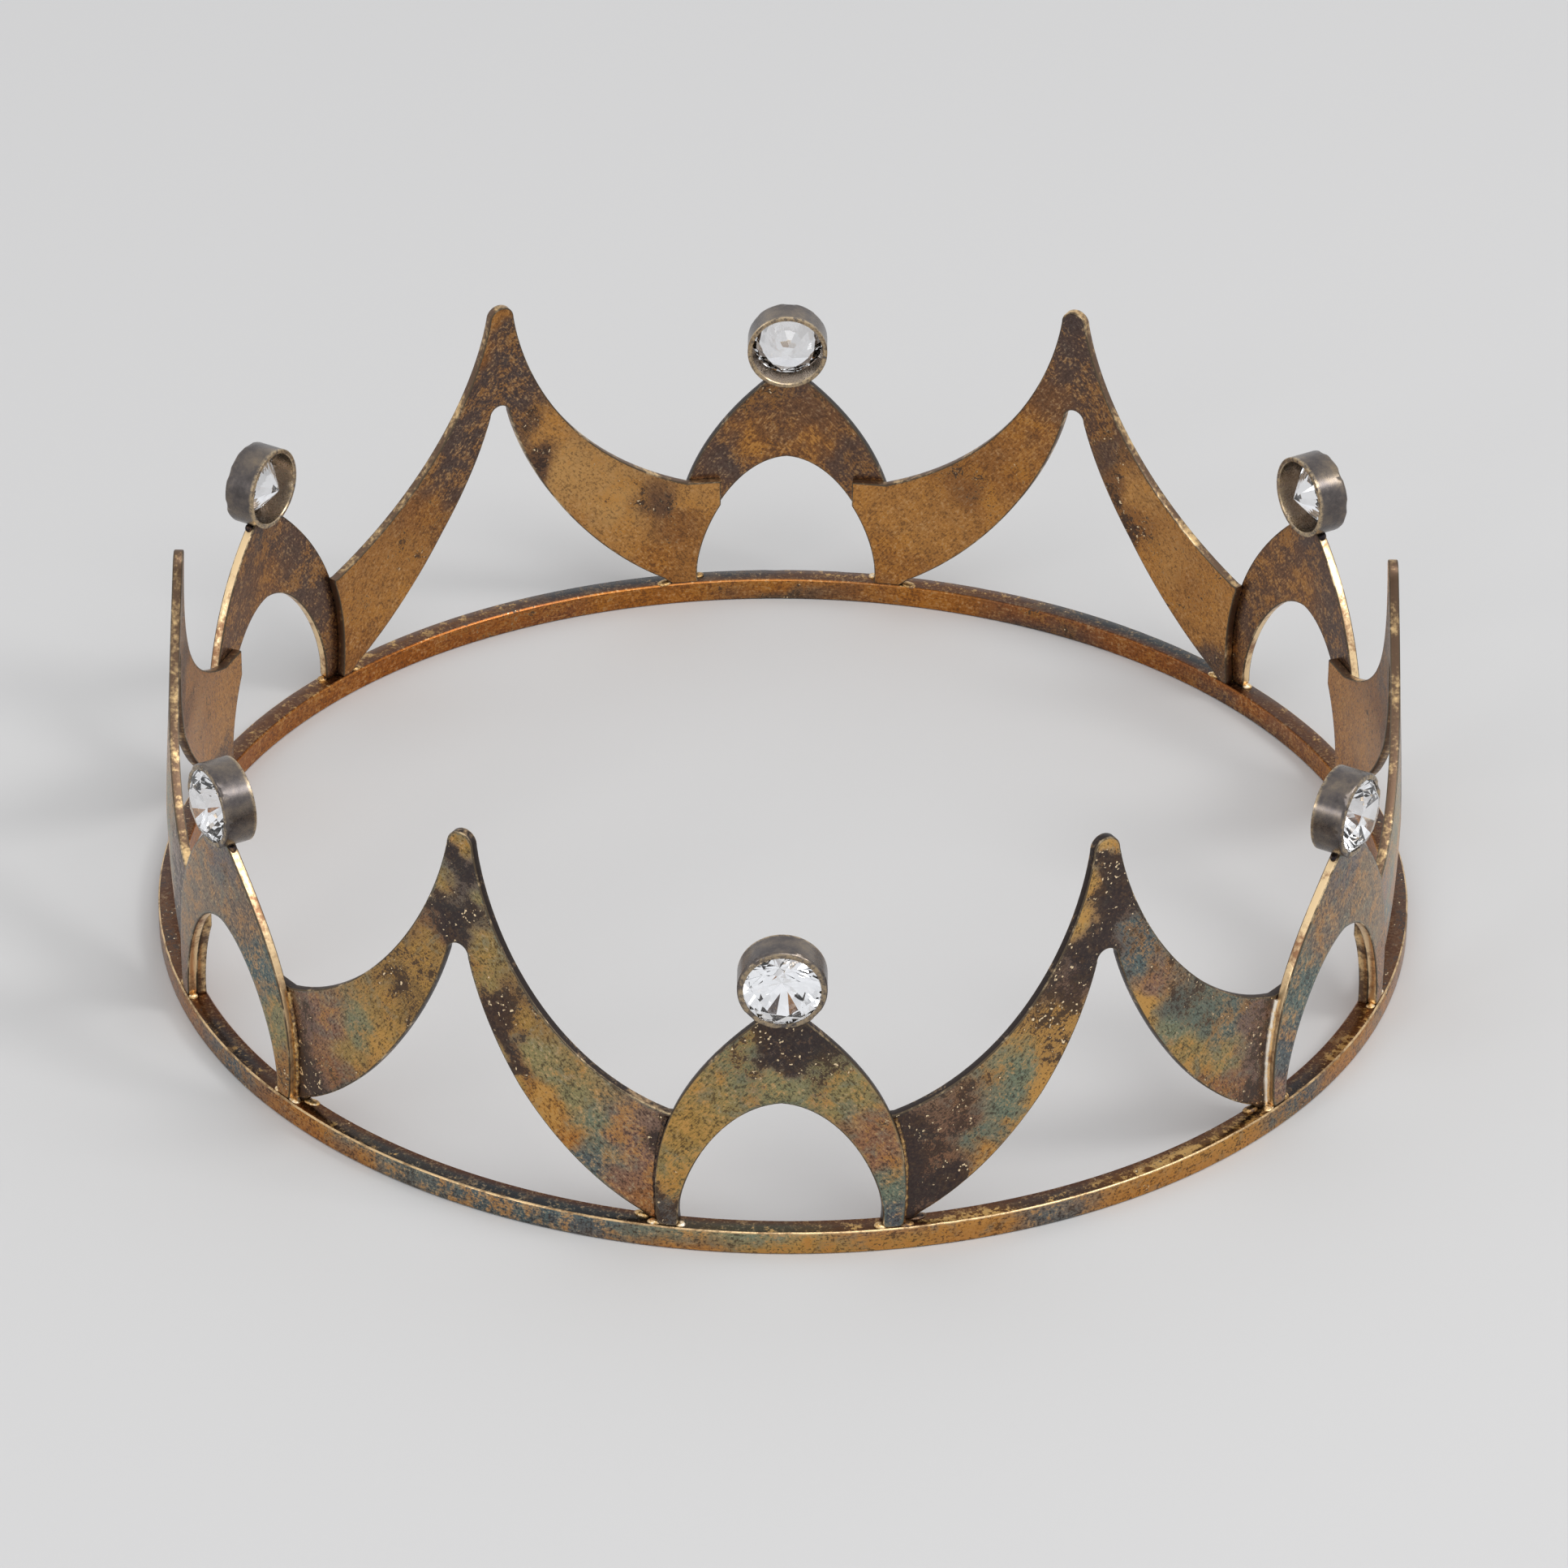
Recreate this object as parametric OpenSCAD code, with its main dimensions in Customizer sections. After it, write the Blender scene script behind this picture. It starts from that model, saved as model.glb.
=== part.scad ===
// Small open crown of six arches and six spires, soldered on a flat hoop.
// Millimetres, +Z up. Origin: centre of the hoop, on its underside. -Y faces the front arch.

/* [Hoop] */
// Outside diameter of the hoop
hoop_d = 130; // [110:1:160]
// Width of the hoop bar, measured along a radius
hoop_w = 2.3; // [2.2:0.1:4]
// Height of the hoop bar
hoop_h = 2.5; // [1.5:0.1:4]
// Chamfer worn on the hoop's outer edges
hoop_wear = 0.15; // [0.05:0.05:0.4]

/* [Sheet] */
// Thickness of the sheet that arches and spires are sawn from
sheet_t = 1; // [0.6:0.1:1]
// Distance of the arches' outer face behind the hoop's outer face
arch_setback = 0.2; // [0:0.05:0.2]

/* [Arches] */
// Half width of an arch at its feet
arch_foot = 12.1; // [11:0.1:13]
// Half width of an arch under its cup
arch_neck = 1.9; // [1.4:0.1:2.4]
// Half width of the arch opening at the feet
opening_foot = 9.95; // [9:0.05:10.5]
// Height of the top of the arch opening
opening_top = 17.5; // [15:0.1:19]

/* [Spires] */
// Height of the spire tips
spire_top = 41.3; // [36:0.1:46]
// Radius of the rounded tips
tip_r = 1.5; // [1:0.1:2]
// Height of the top of the opening under a spire
crotch_top = 29; // [26:0.1:31]
// Height of the step where a spire passes behind an arch
step_top = 15; // [13:0.1:16]
// How far the tips lean in from upright
spire_lean = 1.5; // [0:0.1:3]

/* [Cups] */
// Outside diameter of the cups
cup_d = 8.7; // [8.6:0.1:9.4]
// Depth of the cups, front rim to back rim
cup_depth = 3.5; // [3.3:0.1:4]
// Height of the cups' centres
cup_z = 31.1; // [30.5:0.1:33]
// How far the front rims stand out past the arches' outer face
cup_proud = 1.2; // [0.5:0.1:1.5]

/* [Stones] */
// Girdle diameter of the round brilliants
stone_d = 8; // [7.9:0.01:8]
// Width of the table, corner to corner, as a share of the girdle
table_share = 0.57; // [0.53:0.01:0.62]
// Slope of the main facets above the girdle
crown_angle = 34.5; // [32:0.5:36]
// Slope of the main facets below the girdle
pavilion_angle = 41; // [40:0.5:42]

/* [Hidden] */

$fn = 96;
bays = 6;
bay_angle = 360 / bays;
half_bay = bay_angle / 2;
joint_gap = 0.1;
curve_steps = 20;

hoop_r = hoop_d / 2;
bore_r = hoop_r - hoop_w;
arch_r = hoop_r - arch_setback;
arch_in_r = arch_r - sheet_t;
spire_r = arch_in_r;
spire_in_r = spire_r - sheet_t;
block_start = hoop_r / 2;
block_length = hoop_r;

cup_r = cup_d / 2;
cup_wall = 0.5;
cup_front_r = arch_r + cup_proud;
cup_back_r = cup_front_r - cup_depth;
seat_clear = 0.02;
seat_w = 0.17;
lip_reach = 0.26;
lip_t = 0.12;
rim_wear = 0.25;

stone_r = stone_d / 2;
girdle_t = 0.24;
girdle_depth = 0.5;
star_share = 0.8;
lower_half_share = 0.22;
girdle_z = cup_depth - girdle_depth;

// Colours of the metal and the stones
hoop_colour = "peru";
arch_colour = "darkgoldenrod";
spire_colour = "goldenrod";
cup_colour = "dimgray";
stone_colour = "aliceblue";
solder_colour = "khaki";

// ---- curves -------------------------------------------------------------

// Cubic curve from a to d, with handles b and c
function curve(a, b, c, d) = [
    for (i = [0 : curve_steps])
        let (t = i / curve_steps, u = 1 - t)
        u * u * u * a + 3 * u * u * t * b + 3 * u * t * t * c + t * t * t * d
];
function arc(centre, r, from, to) = [
    for (i = [0 : curve_steps / 2])
        let (a = from + (to - from) * i * 2 / curve_steps)
        centre + r * [cos(a), sin(a)]
];
function reversed(points) = [for (i = [len(points) - 1 : -1 : 0]) points[i]];
function mirrored(points) = [for (p = reversed(points)) [-p.x, p.y]];
function both_sides(half) = concat(half, mirrored(half));

// Flat sheet to bent sheet: a length along the sheet becomes a straight width at radius r
function arc_angle(length, r) = length / r * 180 / PI;
function bent(points, r) = [for (p = points) [r * sin(arc_angle(p.x, r)), p.y]];

// ---- outlines, as sawn from the flat sheet -------------------------------

// Right half of an arch's outer edge, foot to neck
function arch_edge() = curve(
    [arch_foot, hoop_h],
    [arch_foot + 0.6, hoop_h + 6.3],
    [arch_foot + 0.9, hoop_h + 15.2],
    [arch_neck, cup_z - sqrt(cup_r * cup_r - arch_neck * arch_neck)]
);
// Right half of an arch's opening, foot to top
function opening_edge() = curve(
    [opening_foot, hoop_h],
    [opening_foot + 0.85, hoop_h + 4.3],
    [opening_foot * 0.65, opening_top - 0.5],
    [0, opening_top]
);
function arch_outline() = both_sides(concat(arch_edge(), [[arch_neck, cup_z]]));
function opening_outline() = both_sides(concat(
    [[opening_foot, -1]], opening_edge()
));

// The arch opening's edge as it falls on the sheet of the spire behind it
function behind_arch(p) = [
    (half_bay - arc_angle(p.x + joint_gap, arch_r)) * PI / 180 * spire_r, p.y
];
end_drop = 2.5;
end_lap = 0.5;
// A full end covers the arch's leg from behind; a short one only laps its outer edge
full_end = [
    for (p = opening_edge()) if (p.y < step_top - end_drop) behind_arch(p)
];
short_end = [
    for (p = arch_edge()) if (p.y < step_top) behind_arch(p - [end_lap, 0])
];

foot_s = 20.6;
foot_turn = [foot_s - 1, hoop_h + 0.8];
step_s = 22.3;
crotch_r = 1.2;

// Right half of a spire: tip, flared upper edge, step, end behind the arch, foot, opening
function spire_half(end) = concat(
    arc([0, spire_top - tip_r], tip_r, 90, 6),
    curve(
        [tip_r, spire_top - tip_r],
        [2 * tip_r, spire_top - 10.2],
        [9.8, step_top + 4.1],
        [step_s, step_top]
    ),
    [[end[len(end) - 1].x, step_top]],
    reversed(end),
    [[foot_s, hoop_h]],
    curve(
        foot_turn,
        [10.1, hoop_h + 6],
        [3.4, crotch_top - 9.4],
        [crotch_r, crotch_top - crotch_r]
    ),
    arc([0, crotch_top - crotch_r], crotch_r, 10, 90)
);
function spire_outline(right_end, left_end) =
    concat(spire_half(right_end), mirrored(spire_half(left_end)));

// ---- bending --------------------------------------------------------------

// Upright band between two radii
module band(inner, outer, low, high) {
    difference() {
        translate([0, 0, low]) cylinder(r = outer, h = high - low);
        translate([0, 0, low - 1]) cylinder(r = inner, h = high - low + 2);
    }
}
// Band that stands upright to the step and leans in above it
module leaning_band() {
    high = spire_top + 1;
    lean = spire_lean * (high - step_top) / (spire_top - step_top);
    rotate_extrude() polygon([
        [spire_in_r, 0], [spire_r, 0], [spire_r, step_top], [spire_r - lean, high],
        [spire_in_r - lean, high], [spire_in_r, step_top]
    ]);
}
// Extrudes a flat outline outwards along -Y, through the bands
module outwards() {
    translate([0, -block_start, 0]) rotate([90, 0, 0])
        linear_extrude(block_length) children();
}
module at_arch(i) { rotate([0, 0, i * bay_angle]) children(); }
module at_spire(i) { rotate([0, 0, (i + 0.5) * bay_angle]) children(); }
// A cup's own frame: +Z along the crown's radius, 0 at the back rim
module in_cup(i) {
    at_arch(i) translate([0, -cup_back_r, cup_z]) rotate([90, 0, 0]) children();
}

// ---- pieces ---------------------------------------------------------------

module base_hoop() {
    color(hoop_colour) rotate_extrude($fn = 180) polygon([
        [bore_r, 0], [hoop_r - hoop_wear, 0], [hoop_r, hoop_wear],
        [hoop_r, hoop_h - hoop_wear], [hoop_r - hoop_wear, hoop_h], [bore_r, hoop_h]
    ]);
}

// Pointed arch with an open middle, its neck cut to saddle the cup
module arch(i) {
    color(arch_colour) at_arch(i) intersection() {
        band(arch_in_r, arch_r, hoop_h, cup_z);
        outwards() difference() {
            polygon(bent(arch_outline(), arch_r));
            polygon(bent(opening_outline(), arch_r));
            translate([0, cup_z]) circle(r = cup_r);
        }
    }
}

// Flared two-legged spire, its ends behind the arches on either side
module spire(i, right_end = full_end, left_end = full_end) {
    color(spire_colour) at_spire(i) intersection() {
        leaning_band();
        outwards() polygon(bent(spire_outline(right_end, left_end), spire_r));
    }
}

// Open tube with a cut seat, its front rim pushed over the stone's girdle
module cup(i) {
    girdle_top = girdle_z + girdle_t / 2;
    girdle_low = girdle_z - girdle_t / 2;
    lip_r = stone_r - lip_reach;
    color(cup_colour) in_cup(i) rotate_extrude() polygon([
        [cup_r - cup_wall, 0], [cup_r, 0], [cup_r, cup_depth - rim_wear],
        [cup_r - rim_wear * 0.6, cup_depth - rim_wear * 0.3],
        [cup_r - 2 * rim_wear * 0.8, cup_depth],
        [lip_r, girdle_top + lip_reach * tan(crown_angle) + lip_t],
        [lip_r, girdle_top + lip_reach * tan(crown_angle) + seat_clear],
        [stone_r + seat_clear, girdle_top + seat_clear],
        [stone_r + seat_clear, girdle_low - seat_clear],
        [cup_r - cup_wall, girdle_low - seat_w * tan(pavilion_angle) - 2 * seat_clear]
    ]);
}

// Round brilliant with 57 facets and a plain girdle, table outwards
function ring_of(r, z, n, turn) = [
    for (k = [0 : n - 1]) let (a = turn + k * 360 / n) [r * cos(a), r * sin(a), z]
];
module brilliant() {
    n = 8;
    m = 2 * n;
    half = 180 / n;
    table_r = stone_r * table_share;
    star_r = stone_r * star_share;
    lower_r = stone_r * lower_half_share;
    rise = tan(crown_angle);
    fall = tan(pavilion_angle);
    top = girdle_t / 2;
    points = concat(
        ring_of(table_r, top + (stone_r - table_r) * rise, n, 0),
        ring_of(star_r, top + (stone_r - star_r * cos(half)) * rise, n, half),
        ring_of(stone_r, top, m, 0),
        ring_of(stone_r, -top, m, 0),
        ring_of(lower_r, -top - (stone_r - lower_r * cos(half)) * fall, n, half),
        [[0, 0, -top - stone_r * fall]]
    );
    star = n;
    upper = 2 * n;
    lower = upper + m;
    low_star = lower + m;
    culet = low_star + n;
    polyhedron(points = points, faces = concat(
        [[for (k = [n - 1 : -1 : 0]) k]],
        [for (k = [0 : n - 1]) [k, (k + 1) % n, star + k]],
        [for (k = [0 : n - 1]) [k, star + k, upper + 2 * k, star + (k + n - 1) % n]],
        [for (k = [0 : n - 1]) [star + k, upper + 2 * k + 1, upper + 2 * k]],
        [for (k = [0 : n - 1]) [star + k, upper + (2 * k + 2) % m, upper + 2 * k + 1]],
        [for (j = [0 : m - 1])
            [upper + j, upper + (j + 1) % m, lower + (j + 1) % m, lower + j]],
        [for (k = [0 : n - 1]) [low_star + k, lower + 2 * k, lower + 2 * k + 1]],
        [for (k = [0 : n - 1]) [low_star + k, lower + 2 * k + 1, lower + (2 * k + 2) % m]],
        [for (k = [0 : n - 1])
            [culet, low_star + (k + n - 1) % n, lower + 2 * k, low_star + k]]
    ));
}
module stone(i) {
    color(stone_colour) in_cup(i) translate([0, 0, girdle_z]) brilliant();
}

// ---- solder ---------------------------------------------------------------

// Small wedges where the legs stand on the hoop
module foot_solder() {
    reach = 1.3;
    rise = 0.5;
    arch_wedge = [
        [opening_foot, hoop_h], [opening_foot - reach / 2, hoop_h],
        [opening_foot, hoop_h + rise]
    ];
    spire_wedge = [
        [foot_s, hoop_h], [foot_s - reach, hoop_h],
        (foot_turn + [foot_s, hoop_h]) / 2 - [joint_gap, joint_gap]
    ];
    color(solder_colour) for (i = [0 : bays - 1], side = [0, 1]) {
        at_arch(i) mirror([side, 0, 0]) intersection() {
            band(arch_in_r, arch_r, hoop_h, step_top);
            outwards() polygon(bent(arch_wedge, arch_r));
        }
        at_spire(i) mirror([side, 0, 0]) intersection() {
            band(spire_in_r, spire_r, hoop_h, step_top);
            outwards() polygon(bent(spire_wedge, spire_r));
        }
    }
}

// Fillets up the arches' outer edges, on the face of the spires behind
module seam_solder() {
    seam_w = 0.55;
    seam_t = 0.4;
    edge = [for (p = arch_edge()) if (p.y < step_top - seam_w) p];
    outer = [for (p = reversed(edge)) p + [seam_w, 0]];
    color(solder_colour) for (i = [0 : bays - 1], side = [0, 1])
        at_arch(i) mirror([side, 0, 0]) intersection() {
            band(arch_in_r, arch_in_r + seam_t, hoop_h, step_top);
            outwards() polygon(bent(concat(edge, outer), arch_r));
        }
}

// Fillets in the two notches between each cup and its arch
module cup_solder() {
    notch = [
        [arch_neck - 0.1, cup_z - cup_r + 0.4], [arch_neck + 1, cup_z - cup_r - 0.5],
        [arch_neck + 0.75, cup_z - cup_r + 0.25], [arch_neck + 1.2, cup_z - cup_r + 1.3]
    ];
    side_gap = 0.1;
    color(solder_colour) for (i = [0 : bays - 1], side = [0, 1])
        at_arch(i) mirror([side, 0, 0]) intersection() {
            band(arch_in_r + side_gap, arch_r - side_gap, hoop_h, cup_z);
            outwards() difference() {
                polygon(notch);
                polygon(bent(arch_outline(), arch_r));
                translate([0, cup_z]) circle(r = cup_r);
            }
        }
}

base_hoop();
arch(0);  // arch_front
arch(1);  // arch_front_right
arch(2);  // arch_back_right
arch(3);  // arch_back
arch(4);  // arch_back_left
arch(5);  // arch_front_left
spire(0);  // spire_front_right
spire(1);  // spire_right
spire(2, left_end = short_end);  // spire_back_right
spire(3, right_end = short_end);  // spire_back_left
spire(4);  // spire_left
spire(5);  // spire_front_left
cup(0);  // cup_front
cup(1);  // cup_front_right
cup(2);  // cup_back_right
cup(3);  // cup_back
cup(4);  // cup_back_left
cup(5);  // cup_front_left
stone(0);  // stone_front
stone(1);  // stone_front_right
stone(2);  // stone_back_right
stone(3);  // stone_back
stone(4);  // stone_back_left
stone(5);  // stone_front_left
foot_solder();
seam_solder();
cup_solder();
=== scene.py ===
"""A small open crown: six arches and six spires of patinated gilt sheet on a flat hoop,
with a clear round brilliant in an open tube cup on every arch."""

import math
import random

import bpy
import numpy as np
from mathutils import Matrix, Quaternion, Vector, noise
from mathutils.kdtree import KDTree


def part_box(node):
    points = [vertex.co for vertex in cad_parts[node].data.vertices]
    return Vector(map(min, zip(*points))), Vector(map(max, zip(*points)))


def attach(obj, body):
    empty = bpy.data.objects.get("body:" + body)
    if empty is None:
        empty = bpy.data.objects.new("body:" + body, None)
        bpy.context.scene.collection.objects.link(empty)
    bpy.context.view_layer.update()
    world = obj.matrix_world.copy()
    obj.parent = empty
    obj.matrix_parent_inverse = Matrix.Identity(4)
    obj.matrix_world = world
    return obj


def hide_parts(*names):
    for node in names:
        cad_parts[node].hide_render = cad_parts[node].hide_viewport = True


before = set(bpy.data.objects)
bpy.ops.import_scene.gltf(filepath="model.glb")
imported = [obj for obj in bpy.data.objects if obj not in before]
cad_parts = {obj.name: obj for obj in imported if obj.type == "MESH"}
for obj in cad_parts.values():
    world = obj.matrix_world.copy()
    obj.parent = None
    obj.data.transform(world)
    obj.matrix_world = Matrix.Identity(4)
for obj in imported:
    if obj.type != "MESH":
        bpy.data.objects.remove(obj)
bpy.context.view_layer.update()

MM = 0.001
PLACES = ["front", "front_right", "back_right", "back", "back_left", "front_left"]
SPIRES = ["front_right", "right", "back_right", "back_left", "left", "front_left"]
BAY = math.radians(60)

# ---- sizes, from the frame -------------------------------------------------------------

hoop_low, hoop_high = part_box("base_hoop")
arch_low, arch_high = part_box("arch_front")
spire_low, spire_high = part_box("spire_right")
cup_low, cup_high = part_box("cup_front")
stone_low, stone_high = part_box("stone_front")

HOOP_R = hoop_high.y
HOOP_H = hoop_high.z
HOOP_W = 2.3 * MM
ARCH_R = -arch_low.y
SHEET_T = 1.0 * MM
SPIRE_R = ARCH_R - SHEET_T
SPIRE_TOP = spire_high.z
CUP_R = (cup_high.z - cup_low.z) / 2
CUP_Z = (cup_high.z + cup_low.z) / 2
CUP_DEPTH = cup_high.y - cup_low.y
CUP_BACK_R = -cup_high.y
STONE_R = (stone_high.z - stone_low.z) / 2

# ---- camera, floor and light -----------------------------------------------------------


def make_camera():
    """The camera, 0.845 m off at about 32 degrees above the hoop, on a long lens."""
    distance, elevation = 0.845, math.radians(32.17)
    tip, roll = math.radians(31.35), math.radians(0.467)
    data = bpy.data.cameras.new("camera")
    camera = bpy.data.objects.new("camera", data)
    bpy.context.scene.collection.objects.link(camera)
    data.lens, data.sensor_width = 185.8, 36
    data.clip_start, data.clip_end = 0.05, 20
    camera.location = (0, -distance * math.cos(elevation), distance * math.sin(elevation))
    level = Quaternion((1, 0, 0), math.pi / 2 - tip)
    camera.rotation_mode = "QUATERNION"
    camera.rotation_quaternion = level @ Quaternion((0, 0, 1), roll)
    bpy.context.scene.camera = camera


def deselect():
    bpy.ops.object.select_all(action="DESELECT")


def area_light(name, size, power, place, aim):
    data = bpy.data.lights.new(name, "AREA")
    data.shape, data.size, data.energy = "DISK", size, power
    light = bpy.data.objects.new(name, data)
    bpy.context.scene.collection.objects.link(light)
    light.location = place
    light.rotation_euler = (Vector(aim) - Vector(place)).to_track_quat("-Z", "Y").to_euler()


def make_studio():
    """A pale floor, a pale room and large soft lights."""
    deselect()
    bpy.ops.mesh.primitive_plane_add(size=6, location=(0, 0, 0))
    floor = bpy.context.object
    floor.name = "floor"
    paper = Finish("paper")
    paper.shader(base=(0.545, 0.54, 0.535), roughness=0.9, metallic=0)
    floor.data.materials.append(paper.material)
    world = bpy.data.worlds.new("room")
    bpy.context.scene.world = world
    world.use_nodes = True
    background = world.node_tree.nodes["Background"]
    background.inputs["Color"].default_value = (0.86, 0.87, 0.89, 1)
    background.inputs["Strength"].default_value = 0.98
    area_light("top_light", 1.0, 5, (0.25, -0.5, 1.2), (0, 0, 0))
    area_light("left_light", 0.3, 1.2, (-0.9, -0.8, 0.5), (0, 0, 0.02))
    area_light("right_light", 0.35, 3.0, (0.75, -0.3, 0.85), (0, 0, 0.03))
    view = bpy.context.scene.view_settings
    view.view_transform, view.look = "Standard", "None"
    view.exposure, view.gamma = 0, 1


# ---- material kit ----------------------------------------------------------------------


class Wire:
    """A shader value that can be used in sums."""

    def __init__(self, finish, socket):
        self.finish, self.socket = finish, socket

    def maths(self, operation, a, b):
        node = self.finish.node("Math", {"operation": operation}, {0: a, 1: b})
        return Wire(self.finish, node.outputs[0])

    def __add__(self, other):
        return self.maths("ADD", self, other)

    def __sub__(self, other):
        return self.maths("SUBTRACT", self, other)

    def __rsub__(self, other):
        return self.maths("SUBTRACT", other, self)

    def __mul__(self, other):
        return self.maths("MULTIPLY", self, other)

    __radd__ = __add__
    __rmul__ = __mul__

    def step(self, low, high):
        """0 below low, 1 above high, smooth between; the other way round if low > high."""
        settings = {"interpolation_type": "SMOOTHSTEP"}
        flip = low > high
        inputs = {"Value": self, "From Min": min(low, high), "From Max": max(low, high)}
        inputs.update({"To Min": 1.0 if flip else 0.0, "To Max": 0.0 if flip else 1.0})
        node = self.finish.node("MapRange", settings, inputs)
        return Wire(self.finish, node.outputs[0])


class Finish:
    """A material and the calls that build it."""

    def __init__(self, name):
        self.material = bpy.data.materials.new(name)
        self.material.use_nodes = True
        self.tree = self.material.node_tree
        self.tree.nodes.clear()

    def node(self, kind, settings=None, inputs=None):
        node = self.tree.nodes.new("ShaderNode" + kind)
        for key, value in (settings or {}).items():
            if key == "stops":
                ramp = node.color_ramp
                while len(ramp.elements) < len(value):
                    ramp.elements.new(0.5)
                for element, (position, colour) in zip(ramp.elements, value):
                    element.position, element.color = position, (*colour, 1)
            else:
                setattr(node, key, value)
        for key, value in (inputs or {}).items():
            if isinstance(value, Wire):
                self.tree.links.new(value.socket, node.inputs[key])
            elif isinstance(value, tuple) and len(value) == 3 and node.inputs[key].type == "RGBA":
                node.inputs[key].default_value = (*value, 1)
            else:
                node.inputs[key].default_value = value
        return node

    def place(self):
        return Wire(self, self.node("TexCoord").outputs["Object"])

    def stored(self, name, output="Fac"):
        return Wire(self, self.node("Attribute", {"attribute_name": name}).outputs[output])

    def noise(self, vector, size, detail=4, rough=0.55, warp=0.0):
        """Cloudy noise, with features of about that size in metres."""
        inputs = {"Vector": vector, "Scale": 1 / size, "Detail": detail}
        inputs.update({"Roughness": rough, "Distortion": warp})
        return Wire(self, self.node("TexNoise", {}, inputs).outputs["Fac"])

    def stretch(self, vector, scale):
        node = self.node("Mapping", {}, {"Vector": vector, "Scale": scale})
        return Wire(self, node.outputs[0])

    def ramp(self, value, stops):
        return Wire(self, self.node("ValToRGB", {"stops": stops}, {0: value}).outputs[0])

    def mix(self, mask, under, over):
        """Colour over laid on colour under by the mask."""
        node = self.node("Mix", {"data_type": "RGBA"}, {0: mask, 6: under, 7: over})
        return Wire(self, node.outputs[2])

    def bump(self, height, strength, depth):
        inputs = {"Height": height, "Strength": strength, "Distance": depth}
        return Wire(self, self.node("Bump", {}, inputs).outputs[0])

    def shader(self, base, roughness, metallic, normal=None, **constants):
        inputs = {"Base Color": base, "Roughness": roughness, "Metallic": metallic}
        if normal:
            inputs["Normal"] = normal
        inputs.update(constants)
        principled = self.node("BsdfPrincipled", {}, inputs)
        output = self.node("OutputMaterial")
        self.tree.links.new(principled.outputs[0], output.inputs[0])


# ---- colours of the patina, and its layers ---------------------------------------------

LINE_STRETCH = 0.16  # brushed lines are drawn out by this scale along the metal
GOLD = (0.58, 0.35, 0.12)
PALE_GOLD = (0.95, 0.74, 0.46)
WARM_GOLD = (0.56, 0.27, 0.075)
OCHRE_GOLD = (0.60, 0.33, 0.10)
OCHRE = (0.62, 0.27, 0.045)
VERDIGRIS = (0.14, 0.20, 0.18)
UMBER = (0.055, 0.036, 0.03)
BROWN = (0.20, 0.12, 0.07)
SOOT = (0.028, 0.023, 0.026)

# the colours that heat brings up on gilt metal, in order of film thickness
FILM = [(0.00, (0.62, 0.45, 0.23)), (0.14, (0.62, 0.35, 0.09)), (0.28, (0.50, 0.20, 0.045)),
        (0.40, (0.36, 0.17, 0.085)), (0.48, (0.30, 0.18, 0.14)), (0.56, (0.13, 0.13, 0.145)),
        (0.64, (0.115, 0.175, 0.18)), (0.72, (0.22, 0.26, 0.175)), (0.82, (0.33, 0.29, 0.135)),
        (0.91, (0.46, 0.27, 0.075)), (1.00, (0.19, 0.155, 0.145))]
# the gentler colours inside the crown
SATIN = [(0.00, (0.66, 0.38, 0.14)), (0.15, (0.52, 0.25, 0.075)), (0.32, (0.38, 0.16, 0.045)),
         (0.50, (0.26, 0.12, 0.05)), (0.68, (0.15, 0.088, 0.062)), (0.84, (0.11, 0.08, 0.072)),
         (1.00, (0.07, 0.058, 0.058))]


def film_colour(stops, thickness):
    """The colour at that film thickness."""
    places = [stop[0] for stop in stops]
    return [float(np.interp(thickness, places, [stop[1][k] for stop in stops])) for k in range(3)]


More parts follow.
